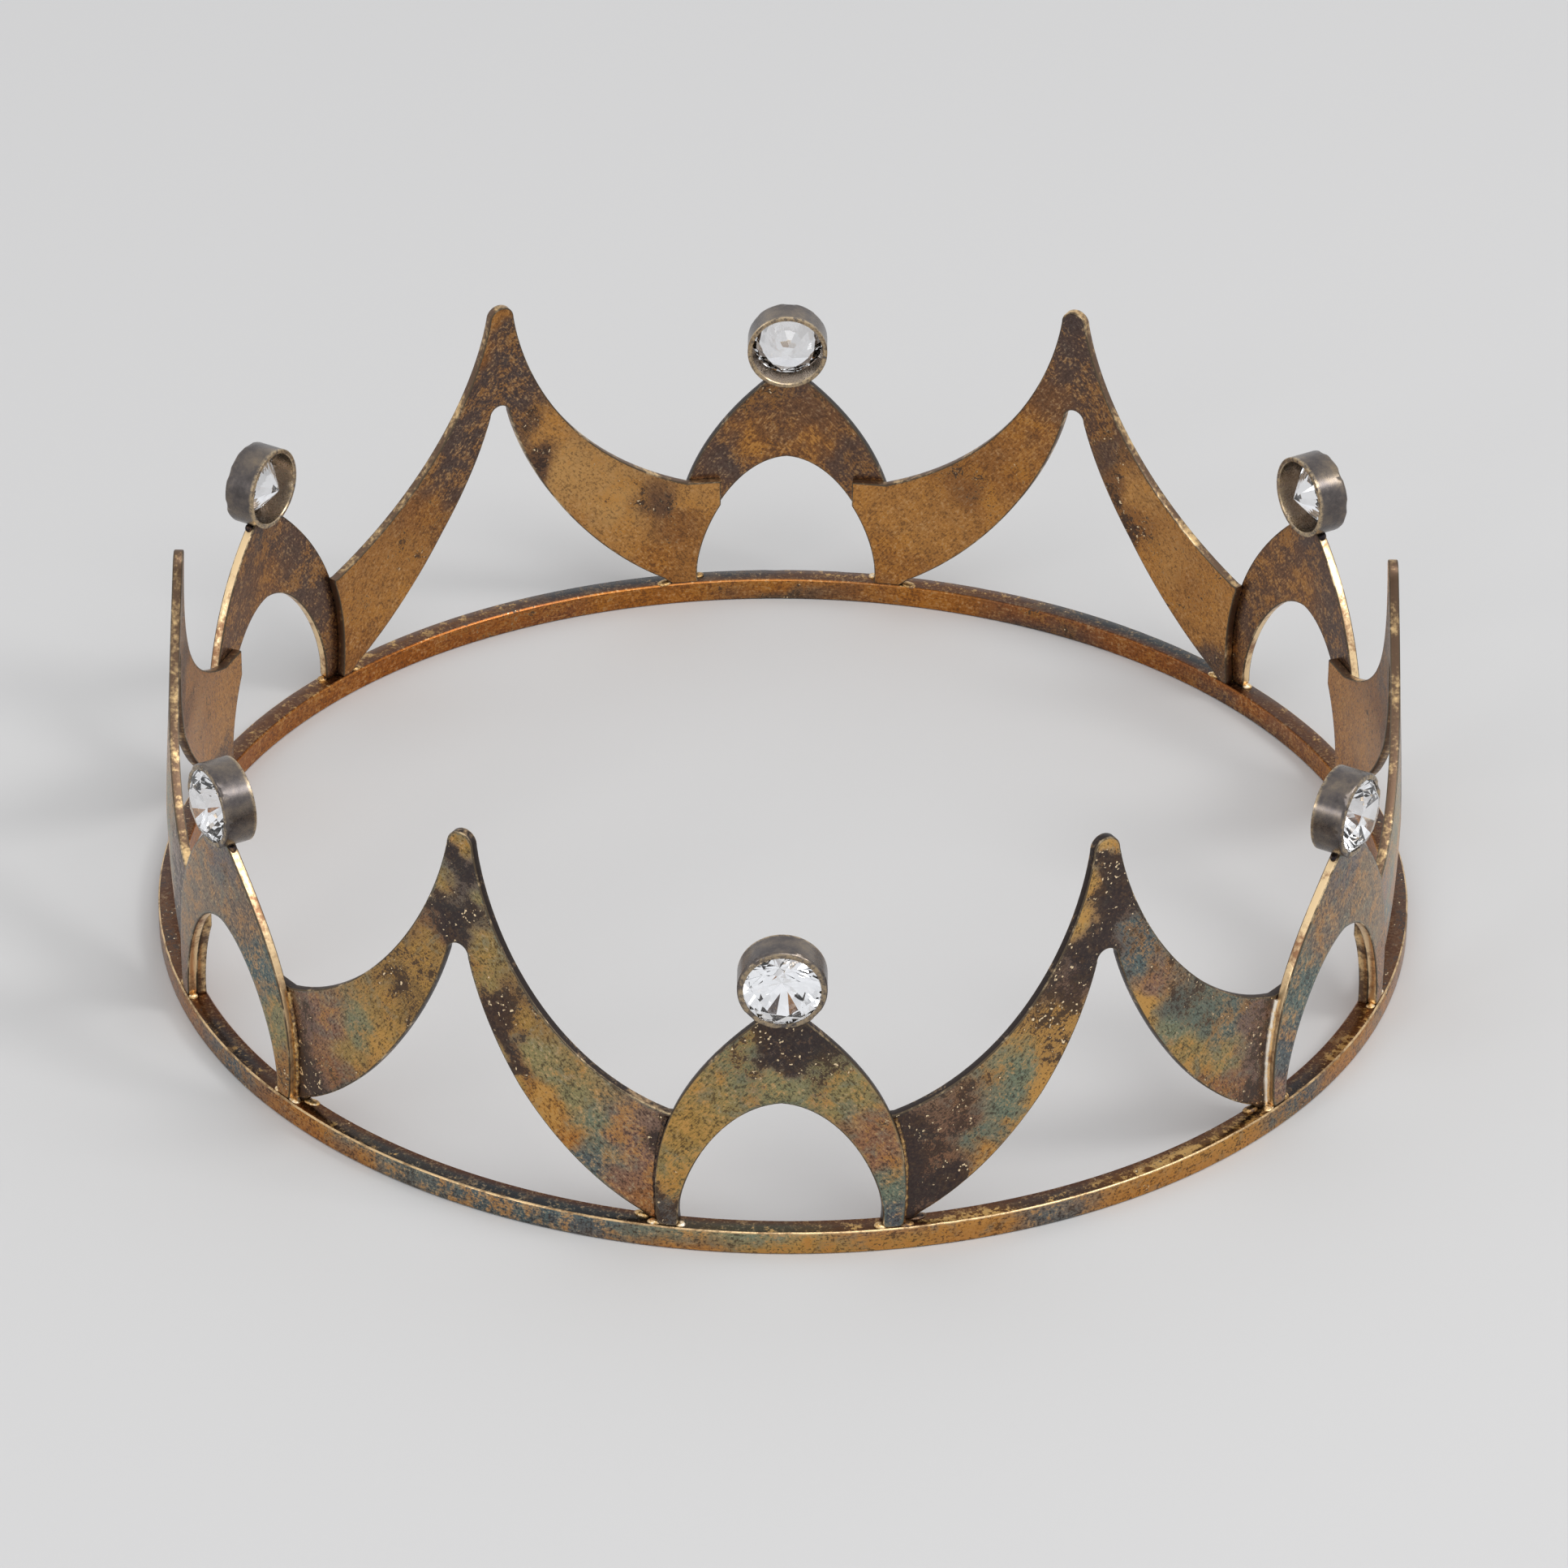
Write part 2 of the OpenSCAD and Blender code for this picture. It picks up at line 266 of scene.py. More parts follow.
def patina(name, strength=1.0, halo=0.75, ochre=0.5, green=0.45, gold=GOLD):
    """Gilt metal under a heat patina. The painted masks are the film's colour, with soot in
    alpha, and wear. Clouds, flecks, brushed lines and torn soot are laid over them."""
    finish = Finish(name)
    where = finish.place()
    film, soot = finish.stored("tint", "Color"), finish.stored("tint", "Alpha")
    wear, rim = finish.stored("wear"), finish.stored("rim")
    broad = finish.noise(where, 5 * MM, 4, 0.6, 0.6)
    blotch = finish.noise(where, 1.7 * MM, 5, 0.62, 0.3)
    other = finish.noise(where, 2.6 * MM, 5, 0.66, 0.8)
    grain = finish.noise(where, 0.34 * MM, 4, 0.7)
    fleck = finish.noise(where, 0.42 * MM, 1, 0.5)
    along = finish.stored("flat", "Vector")
    lines = finish.noise(finish.stretch(along, (LINE_STRETCH, 1, 1)), 0.16 * MM, 3, 0.6)

    warm = broad * 0.4 + blotch * 0.45 + grain * 0.55 + lines * 0.2
    colour = finish.mix(warm.step(0.78, 0.90) * (ochre * strength), film, OCHRE)
    cool = other * 0.8 + grain * 0.5 + lines * 0.2
    colour = finish.mix(cool.step(0.75, 0.88) * (green * strength), colour, VERDIGRIS)
    low = grain * 0.9 + blotch * 0.3 + lines * 0.4
    colour = finish.mix(low.step(0.80, 0.66) * (0.75 * strength), colour, UMBER)
    colour = finish.mix(low.step(0.84, 0.96) * (0.35 * strength), colour, PALE_GOLD)
    scuffed = wear + (blotch - 0.5) * 1.1 + (lines - 0.5) * 1.2 + (grain - 0.5) * 1.1
    colour = finish.mix(scuffed.step(0.44, 0.62) * 0.85, colour, gold)
    border = 1 - rim + (blotch - 0.5) * 0.9
    trim = finish.mix(wear.step(0.15, 0.4), VERDIGRIS, GOLD)
    colour = finish.mix(border.step(0.60, 1.05) * halo, colour, trim)
    torn = (blotch - 0.5) * 1.4 + (grain - 0.5) * 1.6 + (broad - 0.5) * 0.7
    dark = (soot + torn).step(0.47, 0.60)
    dusky = (soot + torn * 0.6).step(0.20, 0.65)
    colour = finish.mix(dusky * 0.45, colour, BROWN)
    colour = finish.mix(dark * (0.95 - grain * 0.25), colour, SOOT)
    bare = dark * fleck.step(0.655, 0.69) * (broad + grain * 0.4).step(0.66, 0.74)
    colour = finish.mix(bare, colour, PALE_GOLD)
    colour = finish.mix((1 - rim).step(0.80, 0.98) * 0.6, colour, SOOT)

    roughness = 0.26 + (grain - 0.5) * 0.35 + dark * 0.06 + blotch * 0.08
    metallic = 0.97 - dark * 0.12
    height = grain * 0.5 + lines * 0.5 + blotch * 0.8 - dark * 0.12
    finish.shader(colour, roughness, metallic, finish.bump(height, 0.3, 0.05 * MM))
    return finish.material


# the bright and dull colours given to this also paint light: painted shade on sawn edges in shadow,
# painted highlight lines on corners that catch the light
def filed_edge_with_painted_light(name, bright, dull, brightness):
    """A filed edge: bright where it rubs, dull between, with small cross cuts, and with painted
    shade and painted highlight in the colours it is given.
    """
    finish = Finish(name)
    where = finish.place()
    wear = finish.noise(where, 3.5 * MM, 4, 0.6)
    cuts = finish.noise(where, 0.45 * MM, 3, 0.6)
    mask = (wear + cuts * 0.5 + brightness - 0.75).step(0.0, 0.28)
    colour = finish.mix(mask, dull, bright)
    roughness = 0.42 - mask * 0.14
    finish.shader(colour, roughness, 0.95, finish.bump(cuts, 0.5, 0.08 * MM))
    return finish.material


def cup_metal():
    """Oxidised silver with fine lines turned round the tube, and painted light in the hollow behind
    the stone.
    """
    finish = Finish("oxidised_silver")
    turned = finish.stored("turned", "Vector")
    where = finish.place()
    lines = finish.noise(finish.stretch(turned, (0.12, 0.12, 1.6)), 0.12 * MM, 3, 0.6)
    cloud = finish.noise(where, 3 * MM, 4, 0.6)
    grain = finish.noise(where, 0.4 * MM, 3, 0.6)
    stops = [(0.30, (0.05, 0.045, 0.045)), (0.46, (0.12, 0.105, 0.10)),
             (0.58, (0.20, 0.165, 0.135)), (0.72, (0.34, 0.26, 0.17))]
    colour = finish.ramp(cloud * 0.65 + lines * 0.2 + grain * 0.15, stops)
    # painted light: the inside of the tube below the girdle is coloured much lighter than the oxide
    # outside, to lift the shade in the hollow round the stone
    inside = finish.stored("inside")
    colour = finish.mix(inside * 0.8, colour, (0.42, 0.33, 0.25))
    rim = finish.stored("rim")
    colour = finish.mix(rim * (grain + 0.2).step(0.5, 0.8), colour, (0.55, 0.42, 0.26))
    finish.shader(colour, 0.20 + grain * 0.14, 0.94, finish.bump(lines, 0.45, 0.03 * MM))
    return finish.material


def stone_glass():
    """Clear, colourless and highly refracting."""
    finish = Finish("clear_brilliant")
    constants = {"IOR": 1.8, "Transmission Weight": 1.0}
    finish.shader((0.98, 0.985, 1.0), 0.0, 0.0, **constants)
    return finish.material


def solder_metal():
    """Gilt solder, pale where it is clean and nearly black where it is not."""
    finish = Finish("solder")
    where = finish.place()
    clean = finish.stored("clean")
    dirt = finish.noise(where, 0.7 * MM, 4, 0.7)
    pits = finish.noise(where, 0.25 * MM, 3, 0.6)
    stops = [(0.10, SOOT), (0.42, BROWN), (0.62, GOLD), (0.85, PALE_GOLD), (1.0, (0.92, 0.84, 0.72))]
    colour = finish.ramp(clean + (dirt - 0.5) * 1.4 + (pits - 0.5) * 0.8, stops)
    finish.shader(colour, 0.30 + dirt * 0.15, 0.92, finish.bump(pits + dirt, 0.5, 0.08 * MM))
    return finish.material


# ---- outlines, in metres, as sawn from the flat sheet ----------------------------------

CURVE_STEPS = 30
ARCH_FOOT, ARCH_NECK = 12.1, 1.9
OPENING_FOOT, OPENING_TOP = 9.95, 17.5
STEP_TOP, CROTCH_TOP = 15.0, 29.0
TIP_R, CROTCH_R = 1.5, 1.2
JOINT_GAP, END_LAP, END_DROP = 0.1, 0.5, 2.5
FOOT_S, STEP_S = 20.6, 22.3
SPIRE_LEAN = 1.5 * MM
BEVEL_W, CELL = 0.13 * MM, 0.5 * MM
CELL_START = 0.37  # cuts start part of a cell in, so that none falls along a corner
MIN_GAP = 0.15


def curve(a, b, c, d):
    points = []
    for i in range(CURVE_STEPS + 1):
        t = i / CURVE_STEPS
        u = 1 - t
        weights = (u**3, 3 * u * u * t, 3 * u * t * t, t**3)
        points.append(tuple(sum(w * p[k] for w, p in zip(weights, (a, b, c, d))) for k in (0, 1)))
    return points


def arc(centre, radius, start, end, steps=8):
    angles = [math.radians(start + (end - start) * i / steps) for i in range(steps + 1)]
    return [(centre[0] + radius * math.cos(a), centre[1] + radius * math.sin(a)) for a in angles]


def arch_edge():
    base, neck_z = HOOP_H / MM, (CUP_Z - math.sqrt(CUP_R**2 - (ARCH_NECK * MM) ** 2)) / MM
    return curve((ARCH_FOOT, base), (ARCH_FOOT + 0.6, base + 6.3),
                 (ARCH_FOOT + 0.9, base + 15.2), (ARCH_NECK, neck_z))


def opening_edge():
    base = HOOP_H / MM
    return curve((OPENING_FOOT, base), (OPENING_FOOT + 0.85, base + 4.3),
                 (OPENING_FOOT * 0.65, OPENING_TOP - 0.5), (0, OPENING_TOP))


def mirrored(half):
    return [(-x, z) for x, z in reversed(half)]


def in_metres(points):
    """A closed outline in metres, with points that lie too close together left out."""
    kept = []
    for x, z in points:
        if not kept or math.dist((x, z), kept[-1]) > MIN_GAP:
            kept.append((x, z))
    if math.dist(kept[0], kept[-1]) < MIN_GAP:
        kept.pop()
    return [(x * MM, z * MM) for x, z in kept]


def arch_outline():
    base, corner = HOOP_H / MM, 0.5
    outer = [p for p in arch_edge() if p[1] > base + corner]
    inner = [p for p in opening_edge() if p[1] > base + corner]
    reach = math.degrees(math.asin(ARCH_NECK * MM / CUP_R))
    saddle = arc((0, CUP_Z / MM), CUP_R / MM, -90 + reach, -90, 6)
    half = list(reversed(inner))
    half += [(OPENING_FOOT + 0.1, base + corner), (OPENING_FOOT + 0.25, base + 0.1)]
    half += [(OPENING_FOOT + 0.5, base)]
    half += arc((ARCH_FOOT - corner, base + corner), corner, -90, -10, 4)
    half += outer + saddle[1:]
    # the loop runs down the opening, under the foot and up the outer edge
    return in_metres(half + mirrored(half))


def behind_arch(point):
    """Where a point of an arch falls on the sheet of the spire behind it."""
    angle = BAY / 2 - (point[0] + JOINT_GAP) * MM / ARCH_R
    return angle * SPIRE_R / MM, point[1]


def spire_half(short):
    """One hand of a spire's outline, from its tip round the foot to the crotch."""
    base, top = HOOP_H / MM, SPIRE_TOP / MM
    if short:
        end = [behind_arch((x - END_LAP, z)) for x, z in arch_edge() if z < STEP_TOP]
    else:
        end = [behind_arch(p) for p in opening_edge() if p[1] < STEP_TOP - END_DROP]
    upper = curve((TIP_R, top - TIP_R), (2 * TIP_R, top - 10.2),
                  (9.8, STEP_TOP + 4.1), (STEP_S, STEP_TOP))
    lower = curve((FOOT_S - 1, base + 0.8), (10.1, base + 6),
                  (3.4, CROTCH_TOP - 9.4), (CROTCH_R, CROTCH_TOP - CROTCH_R))
    half = arc((0, top - TIP_R), TIP_R, 90, 6) + upper
    half += [(end[-1][0], STEP_TOP)] + list(reversed(end)) + [(FOOT_S, base)]
    return half + lower + arc((0, CROTCH_TOP - CROTCH_R), CROTCH_R, 10, 90)


def spire_outline(short_right, short_left):
    return in_metres(spire_half(short_right) + mirrored(spire_half(short_left)))


# ---- sheet work ------------------------------------------------------------------------


def apply_modifier(piece, kind, **settings):
    modifier = piece.modifiers.new(kind.lower(), kind)
    for key, value in settings.items():
        setattr(modifier, key, value)
    bpy.ops.object.modifier_apply(modifier=modifier.name)


def saw_sheet(name, outline):
    """A flat sheet of that outline, standing in XZ with its outer face at y = 0."""
    deselect()
    bpy.ops.mesh.primitive_circle_add(vertices=len(outline), fill_type="NGON")
    piece = bpy.context.object
    piece.name = name
    for vertex, (along, up) in zip(piece.data.vertices, outline):
        vertex.co = (along, 0, up)
    piece.data.update()
    if piece.data.polygons[0].normal.y > 0:
        piece.data.flip_normals()
    apply_modifier(piece, "SOLIDIFY", thickness=SHEET_T, offset=-1)
    apply_modifier(piece, "BEVEL", width=BEVEL_W, segments=2, limit_method="ANGLE",
                   angle_limit=math.radians(50), use_clamp_overlap=False)
    slice_up(piece, CELL)
    return piece


def slice_up(piece, pitch):
    """Cuts the sheet into small cells, so that it bends smoothly and can be painted."""
    low, high = Vector(piece.bound_box[0]), Vector(piece.bound_box[6])
    bpy.ops.object.mode_set(mode="EDIT")
    for axis in (0, 2):
        cuts = int((high[axis] - low[axis]) / pitch)
        for k in range(1, cuts + 1):
            place, normal = [0, 0, 0], [0, 0, 0]
            place[axis], normal[axis] = low[axis] + (k - CELL_START) * pitch, 1
            bpy.ops.mesh.select_all(action="SELECT")
            bpy.ops.mesh.bisect(plane_co=place, plane_no=normal)
    bpy.ops.object.mode_set(mode="OBJECT")


def outline_tree(outline):
    """The outline as closely spaced points, for finding the nearest."""
    tree = KDTree(len(outline) * 4)
    count = len(outline)
    for i, (x, z) in enumerate(outline):
        next_x, next_z = outline[(i + 1) % count]
        for k in range(4):
            t = k / 4
            tree.insert((x + (next_x - x) * t, 0, z + (next_z - z) * t), i * 4 + k)
    tree.balance()
    return tree


RIM_REACH = 1.1 * MM
MARK_REACH, MARK_SOFTNESS = 1.3 * MM, 0.5
WANDER_WAVE, WANDER_FINER = 2.3 * MM, 2.7
WANDER_FAR, WANDER_NEAR = 1.5 * MM, 0.6 * MM
LINES_RUN = math.radians(-50)


def mark_rim(piece, outline):
    """Stores how far in from the sheet's edge each point lies, 0 at the edge to 1."""
    tree = outline_tree(outline)
    rim = piece.data.attributes.new("rim", "FLOAT", "POINT")
    for vertex, value in zip(piece.data.vertices, rim.data):
        away = tree.find((vertex.co.x, 0, vertex.co.z))[2]
        value.value = min(1, away / RIM_REACH)


def blend_marks(points, marks, stops):
    """Colour, soot and wear at flat points, blended from marks given in millimetres."""
    places = np.array([mark[:2] for mark in marks]) * MM
    values = np.array([film_colour(stops, mark[2]) + list(mark[3:]) for mark in marks])
    gaps = ((points[:, None, :] - places[None, :, :]) ** 2).sum(axis=2) / MARK_REACH**2
    weights = 1 / (gaps + MARK_SOFTNESS) ** 2
    return (weights @ values) / weights.sum(axis=1)[:, None]


def points_of(piece):
    points = np.empty(len(piece.data.vertices) * 3)
    piece.data.vertices.foreach_get("co", points)
    return points.reshape(-1, 3)


def wander(flat):
    """The flat points shifted about, so that painted areas get uneven borders."""
    seeds = [Vector((x / WANDER_WAVE, 0.5, z / WANDER_WAVE)) for x, z in flat]
    shift = np.array([noise.noise_vector(seed) for seed in seeds])
    fine = np.array([noise.noise_vector(seed * WANDER_FINER) for seed in seeds])
    return flat + WANDER_FAR * shift[:, [0, 2]] + WANDER_NEAR * fine[:, [0, 2]]


def store(piece, name, kind, values):
    attribute = piece.data.attributes.new(name, kind, "POINT")
    field = {"FLOAT": "value", "FLOAT_VECTOR": "vector", "FLOAT_COLOR": "color"}[kind]
    attribute.data.foreach_set(field, values.ravel())


def store_masks(piece, masks):
    store(piece, "tint", "FLOAT_COLOR", masks[:, :4])
    store(piece, "wear", "FLOAT", masks[:, 4])


def paint(piece, outer, inner):
    """Stores the painted masks of a flat sheet, and its flat place for brushed lines."""
    points = points_of(piece)
    flat = points[:, [0, 2]]
    wandered = wander(flat)
    front = (points[:, 1] < SHEET_T / 2)[:, None]
    masks = np.where(front, blend_marks(wandered, outer, FILM), blend_marks(wandered, inner, SATIN))
    store_masks(piece, masks)
    # brushed lines run from the feet up towards the middle
    across, up = np.abs(flat[:, 0]), flat[:, 1]
    lines = np.stack([across * math.cos(LINES_RUN) + up * math.sin(LINES_RUN),
                      up * math.cos(LINES_RUN) - across * math.sin(LINES_RUN),
                      points[:, 1]], axis=1)
    store(piece, "flat", "FLOAT_VECTOR", lines)


def flipped(marks):
    """The same marks on the other hand."""
    return [(-mark[0], *mark[1:]) for mark in marks]


def finish_faces(piece, outer, inner, edge, corner):
    """Gives the outer face, the inner face, the sawn edges and their corners their metal."""
    for material in (outer, inner, edge, corner):
        piece.data.materials.append(material)
    # the sawn edges and their corners take finishes that carry painted shade and painted highlight
    # lines
    for polygon in piece.data.polygons:
        facing = polygon.normal.y
        if abs(facing) > 0.95:
            polygon.material_index = 0 if facing < 0 else 1
        else:
            polygon.material_index = 2 if abs(facing) < 0.1 else 3


def lean_in(piece, lean):
    """Leans a flat spire back above the step where it passes behind the arches."""
    low, high = STEP_TOP * MM, SPIRE_TOP
    for vertex in piece.data.vertices:
        share = max(0, (vertex.co.z - low) / (high - low))
        vertex.co.y += lean * share


def bend(piece, radius):
    """Bends a flat sheet round the crown and moves it to its radius."""
    across = [vertex.co.x for vertex in piece.data.vertices]
    angle = (max(across) - min(across)) / radius
    apply_modifier(piece, "SIMPLE_DEFORM", deform_method="BEND", deform_axis="Z", angle=angle)
    ends = max(piece.data.vertices, key=lambda vertex: abs(vertex.co.x))
    assert ends.co.y > 0
    piece.data.transform(Matrix.Translation((0, -radius, 0)))


def turn(piece, angle):
    piece.rotation_mode = "XYZ"
    piece.rotation_euler = (0, 0, angle)
    bpy.ops.object.transform_apply(location=False, rotation=True, scale=False)


def copy_of(piece, name):
    deselect()
    piece.select_set(True)
    bpy.context.view_layer.objects.active = piece
    bpy.ops.object.duplicate(linked=False)
    copy = bpy.context.object
    copy.name = name
    return copy


def smooth(piece, degrees=35):
    """Smooth shading, with creases where faces meet more sharply than that."""
    deselect()
    piece.select_set(True)
    bpy.context.view_layer.objects.active = piece
    bpy.ops.object.shade_smooth_by_angle(angle=math.radians(degrees))


def hand_over(piece, node):
    """The finished piece stands for its CAD node."""
    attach(piece, "root")
    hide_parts(node)


def discard(piece):
    bpy.data.objects.remove(piece, do_unlink=True)


# ---- hoop ------------------------------------------------------------------------------


def make_hoop():
    """The hoop: a bar section with worn corners, spun round the crown."""
    wear, inner = HOOP_WEAR, HOOP_R - HOOP_W
    section = [(inner + wear, 0), (HOOP_R - wear, 0), (HOOP_R, wear), (HOOP_R, HOOP_H / 2),
               (HOOP_R, HOOP_H - wear), (HOOP_R - wear * 0.4, HOOP_H - wear * 0.35),
               (HOOP_R - wear, HOOP_H), (HOOP_R - HOOP_W / 2, HOOP_H),
               (inner + wear, HOOP_H), (inner, HOOP_H - wear), (inner, HOOP_H / 2),
               (inner, wear)]
    hoop = spin_section("hoop_bar", section, 360)
    paint_hoop(hoop)
    for material in (METAL["hoop"], METAL["hoop_top"], METAL["hoop_inner"], METAL["hoop_edge"]):
        hoop.data.materials.append(material)
    for polygon in hoop.data.polygons:
        middle, normal = polygon.center, polygon.normal
        outward = normal.xy.normalized().dot(middle.xy.normalized()) if normal.z < 0.9 else 0
        if abs(normal.z) > 0.97:
            polygon.material_index = 1
        # the top outer corner takes the edge finish with its painted highlight line over the wear
        elif abs(normal.z) > 0.03:
            polygon.material_index = 3 if outward > 0 and normal.z > 0 else 1
        else:
            polygon.material_index = 0 if outward > 0 else 2
    nick_hoop(hoop)
    smooth(hoop)
    hand_over(hoop, "base_hoop")


# marks along the hoop: (degrees round from the front, height, film, soot, wear)
HOOP_OUTSIDE = [
    (0, 2.1, 0.74, 0.1, 0.2), (0, 0.6, 0.16, 0.1, 0.5), (-9, 2.0, 0.70, 0.1, 0.1),
    (-9, 0.6, 0.30, 0.2, 0.5), (-18, 1.6, 0.62, 0.1, 0.15), (-18, 0.5, 0.58, 0.1, 0.2),
    (-28, 1.5, 0.61, 0.15, 0.05), (-23, 1.2, 0.62, 0.1, 0.05), (-33, 1, 0.62, 0.1, 0.1),
    (-38, 1.8, 0.66, 0.1, 0.2), (-38, 0.6, 0.30, 0.2, 0.4), (-48, 1.2, 0.28, 0.2, 0.4),
    (-58, 1.4, 0.60, 0.3, 0.3), (-66, 1.2, 0.32, 0.3, 0.3), (-80, 1.2, 0.34, 0.4, 0.2),
    (-95, 1.2, 0.44, 0.4, 0.1), (9, 2.0, 0.40, 0.1, 0.4), (9, 0.6, 0.14, 0.1, 0.6),
    (19, 1.3, 0.24, 0.1, 0.5), (25, 1.2, 0.60, 0.2, 0.2), (33, 1.4, 0.24, 0.2, 0.5),
    (43, 1.1, 0.20, 0.1, 0.5), (52, 1.4, 0.60, 0.3, 0.3), (62, 1.0, 0.26, 0.2, 0.4),
    (78, 1.2, 0.34, 0.4, 0.2), (95, 1.2, 0.42, 0.4, 0.1), (115, 1.2, 0.30, 0.2, 0.3),
    (140, 1.2, 0.62, 0.2, 0.2), (165, 1.2, 0.28, 0.2, 0.4), (-115, 1.2, 0.30, 0.2, 0.3),
    (-140, 1.2, 0.26, 0.2, 0.4), (-165, 1.2, 0.60, 0.2, 0.2)]
HOOP_INSIDE = [
    (0, 1.2, 0.30, 0.2, 0.2), (40, 1.2, 0.36, 0.2, 0.1), (-40, 1.2, 0.30, 0.2, 0.1),
    (80, 1.6, 0.28, 0.1, 0.2), (-80, 1.2, 0.32, 0.1, 0.2), (110, 1.2, 0.24, 0.1, 0.3),
    (128, 1.8, 0.28, 0.1, 0.2), (128, 0.4, 0.56, 0.3, 0.0), (142, 1.2, 0.32, 0.2, 0.1),
    (153, 1.9, 0.34, 0.2, 0.1), (153, 0.7, 0.56, 0.4, 0.0), (166, 1.4, 0.24, 0.1, 0.2),
    (180, 1.4, 0.24, 0.1, 0.2), (180, 0.1, 0.60, 0.5, 0.0), (-166, 1.4, 0.24, 0.1, 0.2),
    (-155, 0.8, 0.40, 0.2, 0.0), (-150, 1.8, 0.30, 0.3, 0.1), (-138, 1.2, 0.28, 0.1, 0.2),
    (-124, 1.2, 0.26, 0.1, 0.3), (-105, 1.2, 0.28, 0.1, 0.3)]

TOP_SHADE, INNER_SHADE = (0.25, 0.22, 0.23), (0.80, 0.66, 0.55)
ROUND_SQUEEZE = 0.35  # degrees round the hoop to millimetres of the marks' own scale
SIDE_SHIFT = 0.3  # keeps the outer and inner faces from sharing the same brushed lines
HOOP_WEAR = 0.16 * MM
NICKS, NICK_REACH, BIG_NICK = 26, 0.7 * MM, 0.12 * MM


def paint_hoop(hoop):
    """Paints the hoop's masks. The marks are repeated a turn on, so that the ends meet."""
    points = points_of(hoop)
    around = np.degrees(np.arctan2(points[:, 0], -points[:, 1]))
    flat = wander(np.stack([around * ROUND_SQUEEZE * MM, points[:, 2]], axis=1))
    outer, inner = [[((mark[0] + turn_on) * ROUND_SQUEEZE, *mark[1:]) for mark in marks
                     for turn_on in (-360, 0, 360)] for marks in (HOOP_OUTSIDE, HOOP_INSIDE)]
    outside = (np.hypot(points[:, 0], points[:, 1]) > HOOP_R - HOOP_W / 2)[:, None]
    masks = np.where(outside, blend_marks(flat, outer, FILM), blend_marks(flat, inner, FILM))
    masks[~outside[:, 0], :3] *= INNER_SHADE
    masks[points[:, 2] > HOOP_H - 0.01 * MM, :3] *= TOP_SHADE
    store_masks(hoop, masks)
    # the shader draws x out into brushed lines, and y is drawn out here to the same length
    lines = np.stack([points[:, 0], points[:, 2] + SIDE_SHIFT * outside[:, 0],
                      points[:, 1] * LINE_STRETCH], axis=1)
    store(hoop, "flat", "FLOAT_VECTOR", lines)
    store(hoop, "rim", "FLOAT", np.ones(len(points)))


def nick_hoop(hoop):
    """Small knocks in the hoop's top outer corner."""
    chance = random.Random(5)
    nicks = [(math.radians(0.6), BIG_NICK)]
    nicks += [(chance.uniform(-math.pi, math.pi), chance.uniform(0.03, 0.09) * MM)
              for k in range(NICKS)]
    for vertex in hoop.data.vertices:
        out = vertex.co.xy.length
        if vertex.co.z < HOOP_H * 0.8 or out < HOOP_R - 0.2 * MM:
            continue
        angle = math.atan2(vertex.co.x, -vertex.co.y)
        for place, depth in nicks:
            away = abs(angle - place) * HOOP_R / NICK_REACH
            if away < 1:
                vertex.co.xy *= 1 - depth * (1 - away) / out


# ---- cups and stones -------------------------------------------------------------------

GIRDLE_Z, GIRDLE_T = 3.0 * MM, 0.24 * MM
CROWN_SLOPE, PAVILION_SLOPE = math.tan(math.radians(34.5)), math.tan(math.radians(41))
CUP_WALL, LIP_REACH, LIP_T = 0.5 * MM, 0.26 * MM, 0.12 * MM
LIP_NOTCHES = (0.35, 1.2, 2.2, 3.05, 3.9, 4.75, 5.6)
CUP_TURN, STONE_START, STONE_TURN = 1.9, 0.2, 0.37  # no two cups or stones sit alike


def spin_section(name, section, steps):
    """A closed section, given as distance out and height, spun round Z."""
    deselect()
    bpy.ops.mesh.primitive_circle_add(vertices=len(section), fill_type="NOTHING")
    piece = bpy.context.object
    piece.name = name
    for vertex, (out, up) in zip(piece.data.vertices, section):
        vertex.co = (out, 0, up)
    bpy.ops.object.mode_set(mode="EDIT")
    bpy.ops.mesh.select_all(action="SELECT")
    bpy.ops.mesh.spin(steps=steps, angle=2 * math.pi, center=(0, 0, 0), axis=(0, 0, 1))
    bpy.ops.mesh.select_all(action="SELECT")
    bpy.ops.mesh.remove_doubles(threshold=0.005 * MM)
    bpy.ops.mesh.normals_make_consistent(inside=False)
    bpy.ops.object.mode_set(mode="OBJECT")
    return piece


def make_cup():
    """An open tube with a seat, its front rim worked down over the stone's girdle."""
    inner, lip = CUP_R - CUP_WALL, STONE_R - LIP_REACH
    girdle_top, girdle_low = GIRDLE_Z + GIRDLE_T / 2, GIRDLE_Z - GIRDLE_T / 2
    lip_low = girdle_top + LIP_REACH * CROWN_SLOPE + 0.02 * MM
    top, clear = CUP_DEPTH, 0.02 * MM
    section = [(inner + 0.1 * MM, 0), (CUP_R - 0.1 * MM, 0), (CUP_R, 0.08 * MM)]
    section += [(CUP_R, top * k / 8) for k in range(1, 8)]
    section += [(CUP_R, top - 0.3 * MM), (CUP_R - 0.05 * MM, top - 0.14 * MM),
                (CUP_R - 0.17 * MM, top - 0.03 * MM), (CUP_R - 0.33 * MM, top),
                (CUP_R - 0.48 * MM, top - 0.03 * MM), (lip, lip_low + LIP_T - clear),
                (lip, lip_low), (STONE_R + clear, girdle_top + clear),
                (STONE_R + clear, girdle_low - clear)]
    section += [(inner, GIRDLE_Z - 0.32 * MM), (inner, 1.8 * MM), (inner, 0.9 * MM)]
    section += [(inner, 0.1 * MM)]
    cup = spin_section("cup", section, 144)
    for vertex in cup.data.vertices:
        work_lip(vertex)
    return cup


